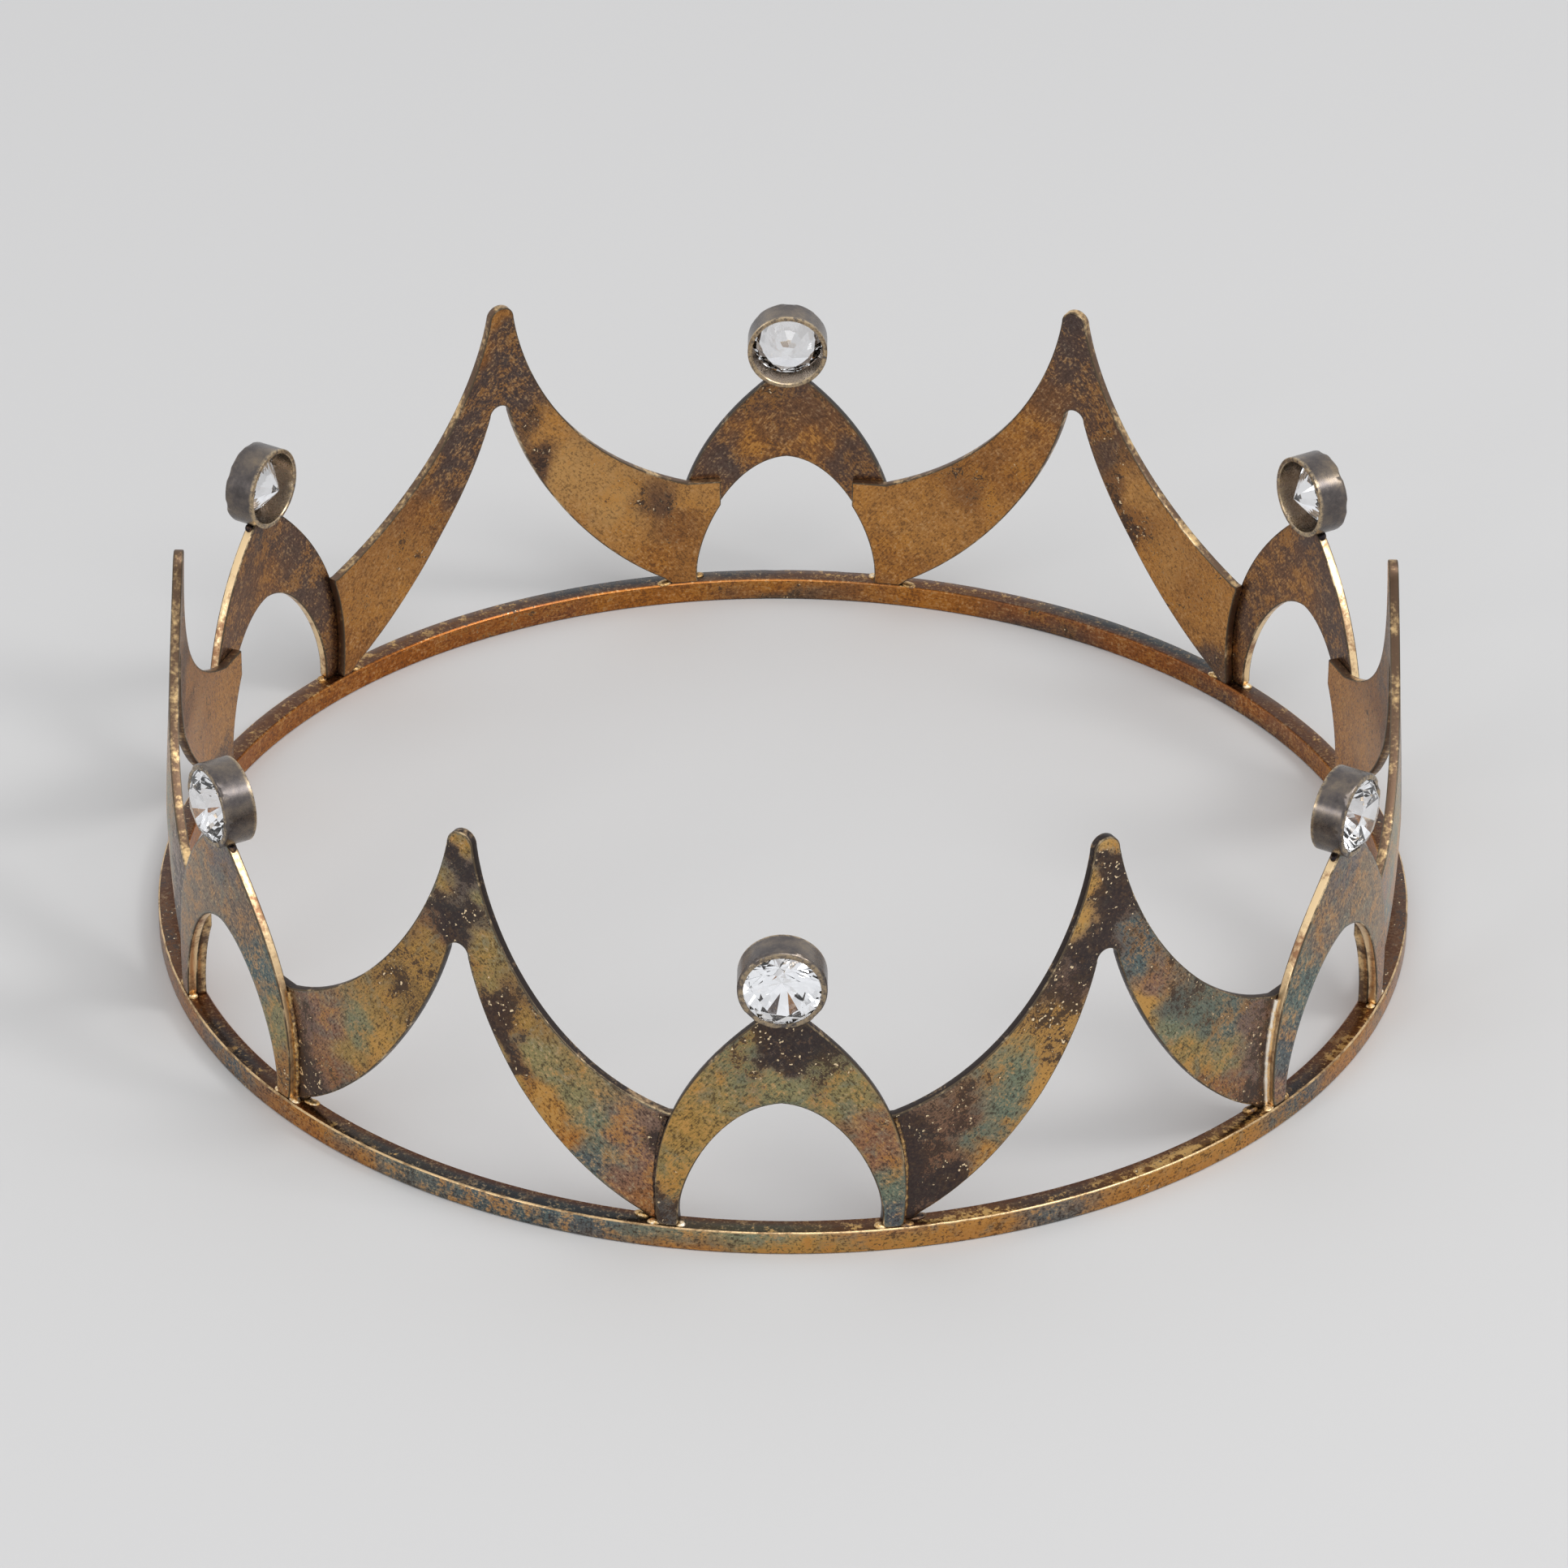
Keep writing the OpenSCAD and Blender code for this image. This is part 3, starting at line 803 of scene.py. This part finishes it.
def work_lip(vertex):
    """The setter's pusher has left the lip a little wavy, with shallow notches outside."""
    angle = math.atan2(vertex.co.y, vertex.co.x) % (2 * math.pi)
    out = vertex.co.xy.length
    if vertex.co.z > CUP_DEPTH - 0.35 * MM and out > CUP_R - 0.5 * MM:
        wave = 0.5 + 0.5 * math.sin(9 * angle + 2 * math.sin(3 * angle))
        away = min(abs(angle - notch) for notch in LIP_NOTCHES) * CUP_R / (0.75 * MM)
        notch = max(0, 1 - away**2)
        vertex.co.z -= 0.05 * MM * wave + 0.09 * MM * notch
        vertex.co.xy *= 1 - 0.05 * MM * notch / out


def ring_of(radius, up, count, start):
    """Points evenly round a level circle."""
    angles = [start + k * 2 * math.pi / count for k in range(count)]
    return [Vector((radius * math.cos(a), radius * math.sin(a), up)) for a in angles]


def cut_facet(a, b, c):
    """Cuts the stone through three points, keeping the side of its middle."""
    normal = (b - a).cross(c - a).normalized()
    if normal.dot(a) < 0:
        normal = -normal
    bpy.ops.mesh.select_all(action="SELECT")
    bpy.ops.mesh.bisect(plane_co=a, plane_no=normal, use_fill=True, clear_outer=True,
                        threshold=0.0001 * MM)


def make_stone():
    """A round brilliant, cut facet by facet from a sixteen-sided blank, girdle at z = 0."""
    half, top = math.pi / 8, GIRDLE_T / 2
    table_r, star_r, lower_r = STONE_R * 0.57, STONE_R * 0.8, STONE_R * 0.22
    table = ring_of(table_r, top + (STONE_R - table_r) * CROWN_SLOPE, 8, 0)
    stars = ring_of(star_r, top + (STONE_R - star_r * math.cos(half)) * CROWN_SLOPE, 8, half)
    upper = ring_of(STONE_R, top, 16, 0)
    lower = ring_of(STONE_R, -top, 16, 0)
    deep = -top - (STONE_R - lower_r * math.cos(half)) * PAVILION_SLOPE
    low_stars = ring_of(lower_r, deep, 8, half)
    culet = Vector((0, 0, -top - STONE_R * PAVILION_SLOPE))
    deselect()
    bpy.ops.mesh.primitive_cylinder_add(vertices=16, radius=STONE_R, depth=4 * STONE_R)
    stone = bpy.context.object
    stone.name = "stone"
    bpy.ops.object.mode_set(mode="EDIT")
    bpy.ops.mesh.select_all(action="SELECT")
    start = math.atan2(stone.data.vertices[0].co.y, stone.data.vertices[0].co.x)
    bpy.ops.object.mode_set(mode="OBJECT")
    stone.data.transform(Matrix.Rotation(-start, 4, "Z"))
    bpy.ops.object.mode_set(mode="EDIT")
    cut_facet(table[0], table[1], table[2])
    for k in range(8):
        after = (k + 1) % 8
        cut_facet(table[k], stars[k], stars[k - 1])
        cut_facet(table[k], table[after], stars[k])
        cut_facet(stars[k], upper[2 * k], upper[2 * k + 1])
        cut_facet(stars[k], upper[2 * k + 1], upper[(2 * k + 2) % 16])
        cut_facet(low_stars[k], lower[2 * k], lower[2 * k + 1])
        cut_facet(low_stars[k], lower[2 * k + 1], lower[(2 * k + 2) % 16])
        cut_facet(culet, low_stars[k], low_stars[k - 1])
    bpy.ops.mesh.select_all(action="SELECT")
    bpy.ops.mesh.remove_doubles(threshold=0.002 * MM)
    bpy.ops.mesh.normals_make_consistent(inside=False)
    bpy.ops.object.mode_set(mode="OBJECT")
    return stone


def set_cups_and_stones():
    """Six cups and six stones, each cup facing out over its arch."""
    cup, stone = make_cup(), make_stone()
    stone.data.transform(Matrix.Translation((0, 0, GIRDLE_Z)))
    turned = cup.data.attributes.new("turned", "FLOAT_VECTOR", "POINT")
    inside = cup.data.attributes.new("inside", "FLOAT", "POINT")
    rim = cup.data.attributes.new("rim", "FLOAT", "POINT")
    for k, vertex in enumerate(cup.data.vertices):
        out = vertex.co.xy.length
        turned.data[k].vector = vertex.co
        # inside marks the hollow behind the stone, where the cup's material paints light over the
        # shade
        inside.data[k].value = 1 if out < CUP_R - 0.45 * MM and vertex.co.z < 2.9 * MM else 0
        back = vertex.co.z < 0.15 * MM
        rim.data[k].value = 0.9 if back else 0.6 if vertex.co.z > CUP_DEPTH - 0.12 * MM else 0
    cup.data.materials.append(METAL["cup"])
    stone.data.materials.append(METAL["stone"])
    smooth(cup, 40)
    for i, place in enumerate(PLACES):
        facing = Matrix.Rotation(i * BAY, 4, "Z") @ Matrix.Translation((0, -CUP_BACK_R, CUP_Z))
        facing = facing @ Matrix.Rotation(math.pi / 2, 4, "X")
        tube = copy_of(cup, "cup_tube_" + place)
        tube.data.transform(facing @ Matrix.Rotation(i * CUP_TURN, 4, "Z"))
        hand_over(tube, "cup_" + place)
        gem = copy_of(stone, "brilliant_" + place)
        gem.data.transform(facing @ Matrix.Rotation(STONE_START + i * STONE_TURN, 4, "Z"))
        hand_over(gem, "stone_" + place)
    discard(cup)
    discard(stone)


# ---- solder ----------------------------------------------------------------------------


def bead(points, radii):
    """A run bead of solder along points, thicker and thinner as given."""
    data = bpy.data.curves.new("bead", "CURVE")
    data.dimensions = "3D"
    data.bevel_depth, data.bevel_resolution, data.use_fill_caps = 1, 2, True
    spline = data.splines.new("POLY")
    spline.points.add(len(points) - 1)
    for target, point, radius in zip(spline.points, points, radii):
        target.co, target.radius = (*point, 1), radius
    run = bpy.data.objects.new("bead", data)
    bpy.context.scene.collection.objects.link(run)
    deselect()
    run.select_set(True)
    bpy.context.view_layer.objects.active = run
    bpy.ops.object.convert(target="MESH")
    return bpy.context.object


def mark_clean(piece, clean):
    """Stores how clean this run of solder is."""
    attribute = piece.data.attributes.new("clean", "FLOAT", "POINT")
    for value in attribute.data:
        value.value = clean


def blob(chance, place, size, angle):
    """A small uneven lump of solder, flattened on the metal."""
    deselect()
    bpy.ops.mesh.primitive_ico_sphere_add(subdivisions=3, radius=1)
    lump = bpy.context.object
    bumps = [(Vector([chance.gauss(0, 1) for k in range(3)]).normalized(),
              chance.uniform(-0.25, 0.3)) for k in range(5)]
    for vertex in lump.data.vertices:
        swell = sum(rise * max(0, vertex.co.dot(way)) ** 3 for way, rise in bumps)
        vertex.co = Vector([vertex.co[k] * size[k] * (1 + swell) for k in range(3)])
    lump.data.transform(Matrix.Rotation(angle, 4, "Z") @ Matrix.Translation(place))
    return lump


def join(pieces, name):
    deselect()
    for piece in pieces:
        piece.select_set(True)
    bpy.context.view_layer.objects.active = pieces[0]
    bpy.ops.object.join()
    joined = bpy.context.object
    joined.name = name
    joined.data.materials.clear()
    joined.data.materials.append(METAL["solder"])
    smooth(joined, 60)
    return joined


def on_sheet(along, up, radius, out):
    """A point of a bent sheet, by its place on the flat sheet and its distance out."""
    angle = along * MM / radius
    return Vector((out * math.sin(angle), -out * math.cos(angle), up * MM))


BEAD_POINTS = 40
# how clean the seams are, by arch and side; the rest are middling
SEAM_CLEAN = {(0, 1): 0.50, (0, -1): 0.22, (1, -1): 1.05, (5, 1): 0.50}
MIDDLING = 0.45


def run_solder():
    """A bead down each side of every arch, lumps at the feet and two under each cup."""
    chance = random.Random(11)
    seams, feet, necks = [], [], []
    edge = [p for p in arch_edge() if p[1] < STEP_TOP - 0.3]
    for i in range(6):
        for side in (-1, 1):
            turn_by = Matrix.Rotation(i * BAY, 3, "Z")
            points, radii = [], []
            for k in range(BEAD_POINTS):
                t = k / (BEAD_POINTS - 1) * (len(edge) - 1)
                low = min(int(t), len(edge) - 2)
                along = edge[low][0] + (edge[low + 1][0] - edge[low][0]) * (t - low) + 0.1
                up = edge[low][1] + (edge[low + 1][1] - edge[low][1]) * (t - low)
                point = on_sheet(side * along, up + 0.1, ARCH_R, SPIRE_R + 0.05 * MM)
                points.append(turn_by @ point)
                radii.append(chance.uniform(0.24, 0.36) * MM)
            seams.append(bead(points, radii))
            mark_clean(seams[-1], SEAM_CLEAN.get((i, side), MIDDLING))
            for along, size in ((OPENING_FOOT - 0.1, 0.55), (ARCH_FOOT + 0.3, 0.8)):
                place = on_sheet(side * along, HOOP_H / MM, ARCH_R, ARCH_R - SHEET_T / 2)
                height = chance.uniform(0.25, 0.4)
                shape = (size * MM, 0.5 * MM, height * MM)
                feet.append(blob(chance, place, shape, i * BAY))
                mark_clean(feet[-1], chance.uniform(0.35, 0.85))
            foot = on_sheet(side * (FOOT_S - 0.9), HOOP_H / MM, SPIRE_R, SPIRE_R - SHEET_T / 2)
            shape = (0.9 * MM, 0.5 * MM, chance.uniform(0.2, 0.35) * MM)
            feet.append(blob(chance, foot, shape, (i + 0.5) * BAY))
            mark_clean(feet[-1], chance.uniform(0.2, 0.7))
            neck = Vector((side * (ARCH_NECK + 0.25) * MM, -ARCH_R + SHEET_T / 2,
                           CUP_Z - CUP_R + 0.15 * MM))
            shape = (0.55 * MM, 0.42 * MM, 0.5 * MM)
            necks.append(blob(chance, neck, shape, i * BAY))
            mark_clean(necks[-1], 0.12)
    hand_over(join(seams, "solder_seams"), "seam_solder")
    hand_over(join(feet, "solder_feet"), "foot_solder")
    hand_over(join(necks, "solder_necks"), "cup_solder")


# ---- arches and spires, with their patches of colour -----------------------------------

# each mark is (along, up, film, soot, wear), with its place in millimetres on the flat sheet
FRONT_ARCH = [
    (0, 26.5, 0.50, 1.0, 0.0), (-3, 24.5, 0.82, 0.35, 0.1), (2.5, 24, 0.55, 0.85, 0.0),
    (0, 22.8, 0.55, 0.75, 0.0), (-3.5, 21.5, 0.78, 0.35, 0.0), (3.8, 21.5, 0.80, 0.5, 0.1),
    (0, 19.5, 0.80, 0.1, 0.1), (-6.5, 18.5, 0.86, 0.0, 0.35), (6.5, 18.5, 0.84, 0.05, 0.3),
    (-8.8, 14, 0.90, 0.0, 0.45), (-10, 9, 0.86, 0.1, 0.4), (-11, 4.5, 0.60, 0.55, 0.3),
    (8.7, 13.5, 0.42, 0.3, 0.3), (9.8, 10.5, 0.42, 0.25, 0.3), (10.6, 8, 0.70, 0.0, 0.1),
    (11, 4, 0.58, 0.1, 0.05)]
RIGHT_ARCH = [
    (0, 25, 1.0, 0.3, 0.1), (-4, 21, 0.98, 0.1, 0.1), (4, 21, 0.96, 0.1, 0.1),
    (-8, 14, 0.66, 0.0, 0.1), (-10.5, 9, 0.60, 0.0, 0.1), (-11, 4, 0.47, 0.2, 0.1),
    (8, 14, 0.96, 0.1, 0.2), (10.5, 7, 0.42, 0.3, 0.2)]
LEFT_ARCH = [
    (0, 25, 1.0, 0.35, 0.1), (4, 21, 0.98, 0.1, 0.1), (7.5, 15.5, 0.64, 0.0, 0.0),
    (9.5, 10, 0.80, 0.1, 0.3), (11, 5, 0.30, 0.4, 0.5), (-4, 21, 0.97, 0.1, 0.1),
    (-9, 12, 0.96, 0.2, 0.1), (-11, 4, 0.42, 0.4, 0.2)]
FRONT_RIGHT_SPIRE = [
    (0, 41, 0.10, 0.0, 0.3), (0.2, 38.8, 0.50, 1.0, 0.0), (-1.9, 37, 0.12, 0.1, 0.5),
    (0.4, 37, 0.50, 1.0, 0.0), (0.5, 35, 0.52, 1.0, 0.0), (-2.6, 33, 0.12, 0.15, 0.5),
    (0.4, 33.2, 0.50, 1.0, 0.0), (0.4, 31.3, 0.52, 0.9, 0.0), (-0.8, 29.8, 0.52, 0.9, 0.0),
    (2.6, 30.5, 0.62, 0.3, 0.0), (3.6, 27, 0.62, 0.25, 0.1), (-2.6, 28, 0.56, 0.75, 0.1),
    (-3.8, 25.5, 0.50, 0.6, 0.3), (-5, 22.5, 0.14, 0.45, 0.8), (-7, 19.5, 0.14, 0.5, 0.8),
    (-6.4, 16, 0.20, 0.15, 0.7), (-9.5, 18, 0.72, 0.15, 0.2), (-10.5, 14.5, 0.70, 0.25, 0.3),
    (-9.5, 11, 0.22, 0.1, 0.6), (-13.5, 11.5, 0.70, 0.3, 0.1), (-12.5, 7.8, 0.24, 0.1, 0.5),
    (-15.5, 13, 0.45, 0.55, 0.1), (-17.5, 10, 0.42, 0.6, 0.1), (-16.5, 6.5, 0.50, 0.95, 0.0),
    (-20.5, 10, 0.50, 0.95, 0.0), (-20, 5, 0.50, 0.9, 0.1), (5.2, 23, 0.47, 0.35, 0.1),
    (4.4, 21.2, 0.14, 0.1, 0.7), (8.2, 20, 0.66, 0.55, 0.1), (7.5, 17, 0.76, 0.15, 0.1),
    (8, 14, 0.88, 0.1, 0.4), (11.5, 17, 0.68, 0.45, 0.0), (11, 13, 0.86, 0.1, 0.4),
    (11, 9.5, 0.40, 0.35, 0.3), (15, 15.3, 0.66, 0.2, 0.0), (15, 11, 0.84, 0.1, 0.3),
    (15.5, 7.5, 0.42, 0.3, 0.3), (19, 13, 0.50, 0.45, 0.0), (19, 8, 0.50, 0.5, 0.1),
    (22, 10, 0.50, 0.9, 0.0), (20, 4, 0.40, 0.7, 0.2)]
FRONT_LEFT_SPIRE = [
    (0, 40.2, 0.90, 0.0, 0.1), (0, 37.8, 0.57, 0.7, 0.0), (0.2, 35.4, 0.56, 0.6, 0.0),
    (1.7, 34.5, 0.84, 0.1, 0.1), (-1.6, 36, 0.88, 0.1, 0.1), (0.6, 33, 0.56, 0.9, 0.0),
    (-1.2, 31.5, 0.56, 0.9, 0.0), (0.6, 30.6, 0.56, 0.95, 0.0), (2.6, 29.5, 0.88, 0.1, 0.0),
    (0.8, 37, 0.56, 0.9, 0.0), (-0.8, 38.4, 0.56, 0.8, 0.0), (-2.6, 30.2, 0.40, 0.6, 0.1),
    (-2.6, 28.5, 0.92, 0.35, 0.4), (-4, 25.5, 0.14, 0.5, 0.5), (-5.6, 21, 0.92, 0.55, 0.5),
    (-8.5, 17.5, 0.92, 0.25, 0.4), (-8, 14.5, 0.14, 0.2, 0.6), (-10.5, 10.5, 0.26, 0.35, 0.5),
    (-12, 15, 0.76, 0.2, 0.2), (-13, 11.5, 0.88, 0.1, 0.3), (-16, 13.5, 0.44, 0.2, 0.3),
    (-16, 8.8, 0.40, 0.3, 0.2), (-14, 7.5, 0.46, 0.4, 0.1), (-19.5, 12, 0.50, 0.5, 0.0),
    (-20.5, 8, 0.50, 0.7, 0.0), (-18.5, 4.5, 0.50, 0.6, 0.1), (3.4, 26, 0.86, 0.3, 0.1),
    (4.6, 23.2, 0.40, 0.9, 0.1), (6.6, 22, 0.90, 0.2, 0.1), (5.2, 21.4, 0.40, 1.0, 0.0),
    (6.2, 19.2, 0.42, 1.0, 0.0), (8.8, 18.8, 0.82, 0.1, 0.1), (7.2, 17.2, 0.36, 0.9, 0.1),
    (8, 15.2, 0.24, 0.5, 0.3), (9, 12.6, 0.20, 0.2, 0.5), (10.4, 16.6, 0.80, 0.1, 0.2),
    (4.9, 18.6, 0.86, 0.1, 0.3), (6.2, 15.2, 0.88, 0.1, 0.4), (9.6, 14.2, 0.20, 0.05, 0.6),
    (11, 12.2, 0.22, 0.05, 0.5), (10.8, 14, 0.22, 0.15, 0.6), (12.5, 15.4, 0.80, 0.0, 0.1),
    (12.8, 10.4, 0.28, 0.3, 0.4), (15, 12.5, 0.73, 0.05, 0.0), (16.3, 10, 0.68, 0.0, 0.0),
    (14.5, 7.4, 0.62, 0.1, 0.1), (18, 12, 0.47, 0.15, 0.0), (19.5, 9, 0.46, 0.1, 0.0),
    (18, 6.6, 0.44, 0.1, 0.1), (20.4, 4.6, 0.33, 0.15, 0.3), (21.8, 11.5, 0.50, 0.7, 0.0)]
BACK_ARCH_INSIDE = [
    (0, 26, 0.74, 0.3, 0.0), (-3, 23.5, 0.60, 0.3, 0.1), (3, 23.5, 0.66, 0.3, 0.1),
    (0, 21.6, 0.58, 0.2, 0.0), (-1.8, 20.4, 0.40, 0.0, 0.5), (0.8, 19.9, 0.56, 0.1, 0.1),
    (3.4, 19.8, 0.40, 0.0, 0.5), (2.6, 22, 0.50, 0.1, 0.2), (6.4, 17.5, 0.78, 0.2, 0.0),
    (-6.4, 17.5, 0.72, 0.3, 0.0), (8.5, 13, 0.70, 0.2, 0.1), (-8.5, 13, 0.70, 0.2, 0.1),
    (11, 5, 0.50, 0.2, 0.1), (-11, 5, 0.50, 0.2, 0.1)]
SIDE_ARCH_INSIDE = [
    (0, 26, 0.80, 0.3, 0.0), (-3, 23, 0.70, 0.1, 0.1), (3, 23, 0.62, 0.1, 0.2),
    (0, 20, 0.52, 0.1, 0.3), (6.4, 17.5, 0.60, 0.1, 0.2), (-6.4, 17.5, 0.74, 0.1, 0.1),
    (9.5, 12, 0.66, 0.2, 0.1), (-9.5, 12, 0.70, 0.1, 0.1), (11, 5, 0.55, 0.3, 0.3),
    (-11, 5, 0.60, 0.3, 0.2)]
BACK_LEFT_INSIDE = [
    (0.3, 40.6, 0.25, 0.0, 0.3), (0, 38.6, 0.92, 0.2, 0.0), (0, 35.5, 0.86, 0.1, 0.0),
    (-1, 32, 0.84, 0.1, 0.0), (1.5, 32, 0.84, 0.1, 0.0), (2.2, 36, 0.40, 0.0, 0.2),
    (3.4, 28, 0.80, 0.1, 0.0), (5, 24, 0.80, 0.1, 0.0), (7, 20, 0.72, 0.15, 0.1),
    (7, 16.5, 0.55, 0.2, 0.1), (9.8, 18.2, 0.40, 0.2, 0.3), (12, 14.5, 0.22, 0.3, 0.2),
    (15, 10, 0.20, 0.1, 0.2), (19, 11, 0.24, 0.2, 0.2), (20, 5, 0.32, 0.1, 0.1),
    (-2.6, 29, 0.80, 0.15, 0.0), (-3.8, 25.5, 0.72, 0.4, 0.0), (-4.6, 20.5, 0.60, 0.6, 0.0),
    (-5.8, 24.5, 0.12, 0.0, 0.3), (-8, 19, 0.04, 0.1, 0.3), (-10, 15.5, 0.06, 0.2, 0.2),
    (-9, 12, 0.20, 0.1, 0.1), (-14, 13.4, 0.04, 0.15, 0.3), (-15.5, 9, 0.14, 0.1, 0.1),
    (-19.5, 12.5, 0.62, 0.5, 0.0), (-21, 10, 0.40, 0.3, 0.0), (-23, 14, 0.12, 0.0, 0.3),
    (-19, 6, 0.32, 0.1, 0.1), (-22.5, 5, 0.26, 0.1, 0.1)]
BACK_RIGHT_INSIDE = [
    (0, 40.5, 0.84, 0.2, 0.0), (0, 37, 0.78, 0.15, 0.0), (0, 33, 0.76, 0.1, 0.0),
    (-1.6, 30.5, 0.70, 0.1, 0.1), (2.6, 29, 0.56, 0.1, 0.2), (4.2, 25.5, 0.40, 0.1, 0.3),
    (6, 21.5, 0.30, 0.15, 0.3), (9, 18.5, 0.34, 0.2, 0.2), (9, 14.5, 0.24, 0.1, 0.3),
    (13, 15.6, 0.40, 0.4, 0.1), (15, 12, 0.20, 0.15, 0.2), (18, 9.5, 0.18, 0.0, 0.1),
    (22, 13, 0.20, 0.1, 0.2), (21, 5, 0.30, 0.0, 0.1), (-3, 28, 0.66, 0.2, 0.0),
    (-4.6, 24.5, 0.70, 0.4, 0.0), (-6, 20.5, 0.50, 0.5, 0.1), (-7.8, 21, 0.12, 0.0, 0.3),
    (-8, 16.5, 0.30, 0.5, 0.1), (-9.4, 12.6, 0.22, 0.1, 0.2), (-12.5, 14, 0.14, 0.3, 0.3),
    (-16, 11, 0.26, 0.25, 0.2), (-17.5, 7.5, 0.22, 0.1, 0.2), (-20.5, 9.5, 0.18, 0.1, 0.2),
    (-19, 4.4, 0.80, 0.4, 0.0)]

ARCH_OUTSIDE = {"front": FRONT_ARCH, "front_right": RIGHT_ARCH, "front_left": LEFT_ARCH,
                "back_right": flipped(LEFT_ARCH), "back_left": flipped(RIGHT_ARCH),
                "back": flipped(FRONT_ARCH)}
SPIRE_OUTSIDE = {"front_right": FRONT_RIGHT_SPIRE, "front_left": FRONT_LEFT_SPIRE,
                 "right": flipped(FRONT_LEFT_SPIRE), "left": flipped(FRONT_RIGHT_SPIRE),
                 "back_right": FRONT_RIGHT_SPIRE, "back_left": FRONT_LEFT_SPIRE}
SPIRE_INSIDE = {"back_left": BACK_LEFT_INSIDE, "back_right": BACK_RIGHT_INSIDE,
                "left": BACK_RIGHT_INSIDE, "right": BACK_LEFT_INSIDE,
                "front_left": flipped(BACK_LEFT_INSIDE), "front_right": flipped(BACK_RIGHT_INSIDE)}


def make_arches():
    """Six arches from one flat: painted, bent, turned to their places."""
    flat = saw_sheet("arch", arch_outline())
    mark_rim(flat, arch_outline())
    for i, place in enumerate(PLACES):
        arch = copy_of(flat, "arch_sheet_" + place)
        inside = BACK_ARCH_INSIDE if place == "back" else SIDE_ARCH_INSIDE
        paint(arch, ARCH_OUTSIDE[place], inside)
        # painted light: the front and back arches get the sawn edge in painted shade, the side
        # arches the one with painted glint
        edge = METAL["filed_edge_painted_shade"] if place in ("front", "back") else METAL["filed_edge_painted_glint"]
        finish_faces(arch, METAL["outer"], METAL["inner"], edge, METAL["corner"])
        bend(arch, ARCH_R)
        turn(arch, i * BAY)
        smooth(arch)
        hand_over(arch, "arch_" + place)
    discard(flat)


def make_spires():
    """Six spires. The two at the back stop short beside the arches on one side."""
    flats = {}
    for i, place in enumerate(SPIRES):
        ends = (place == "back_left", place == "back_right")
        if ends not in flats:
            flats[ends] = saw_sheet("spire", spire_outline(*ends))
            mark_rim(flats[ends], spire_outline(*ends))
        spire = copy_of(flats[ends], "spire_sheet_" + place)
        paint(spire, SPIRE_OUTSIDE[place], SPIRE_INSIDE[place])
        # painted light: the front spires get the sawn edge in painted shade, the others the lighter
        # gold copy
        edge = METAL["filed_edge_painted_shade"] if place.startswith("front") else METAL["edge_gold"]
        finish_faces(spire, METAL["outer"], METAL["inner"], edge, METAL["corner"])
        lean_in(spire, SPIRE_LEAN)
        bend(spire, SPIRE_R)
        turn(spire, (i + 0.5) * BAY)
        smooth(spire)
        hand_over(spire, "spire_" + place)
    for flat in flats.values():
        discard(flat)


# ---- the crown -------------------------------------------------------------------------

make_camera()
make_studio()

METAL = {
    "outer": patina("outer_patina", ochre=0.6, gold=OCHRE_GOLD),
    "inner": patina("inner_patina", strength=0.7, halo=0.12, ochre=0.7, green=0.1,
                    gold=WARM_GOLD),
    "hoop": patina("hoop_patina", halo=0, ochre=0.7, gold=WARM_GOLD),
    "hoop_top": patina("hoop_top_patina", strength=0.5, halo=0, ochre=0.15, green=0.1),
    "hoop_inner": patina("hoop_inner_patina", strength=0.7, halo=0, ochre=0.7, green=0.1,
                         gold=WARM_GOLD),
    # the edge and corner finishes are copies of one filed metal, lit and shaded by painting: painted
    # highlight lines over the wear on the hoop's top corner and the sheet corners, painted shade on
    # the dark sawn edges, painted glint on the bright ones, and a lighter gold copy between them
    "hoop_edge": filed_edge_with_painted_light("hoop_corner_painted_highlight", (0.74, 0.52, 0.28), (0.26, 0.16, 0.08), 0.18),
    "corner": filed_edge_with_painted_light("corner_wear_painted_highlight", (0.72, 0.54, 0.32), (0.12, 0.09, 0.06), 0.0),
    "filed_edge_painted_shade": filed_edge_with_painted_light("filed_edge_painted_shade_metal", (0.60, 0.40, 0.22), (0.045, 0.035, 0.032), -0.06),
    "filed_edge_painted_glint": filed_edge_with_painted_light("filed_edge_painted_glint_metal", (0.95, 0.70, 0.40), (0.36, 0.19, 0.10), 0.22),
    "edge_gold": filed_edge_with_painted_light("edge_gold", (0.80, 0.55, 0.27), (0.16, 0.10, 0.065), 0.05),
    "cup": cup_metal(),
    "stone": stone_glass(),
    "solder": solder_metal(),
}
make_hoop()
make_arches()
make_spires()
set_cups_and_stones()
run_solder()
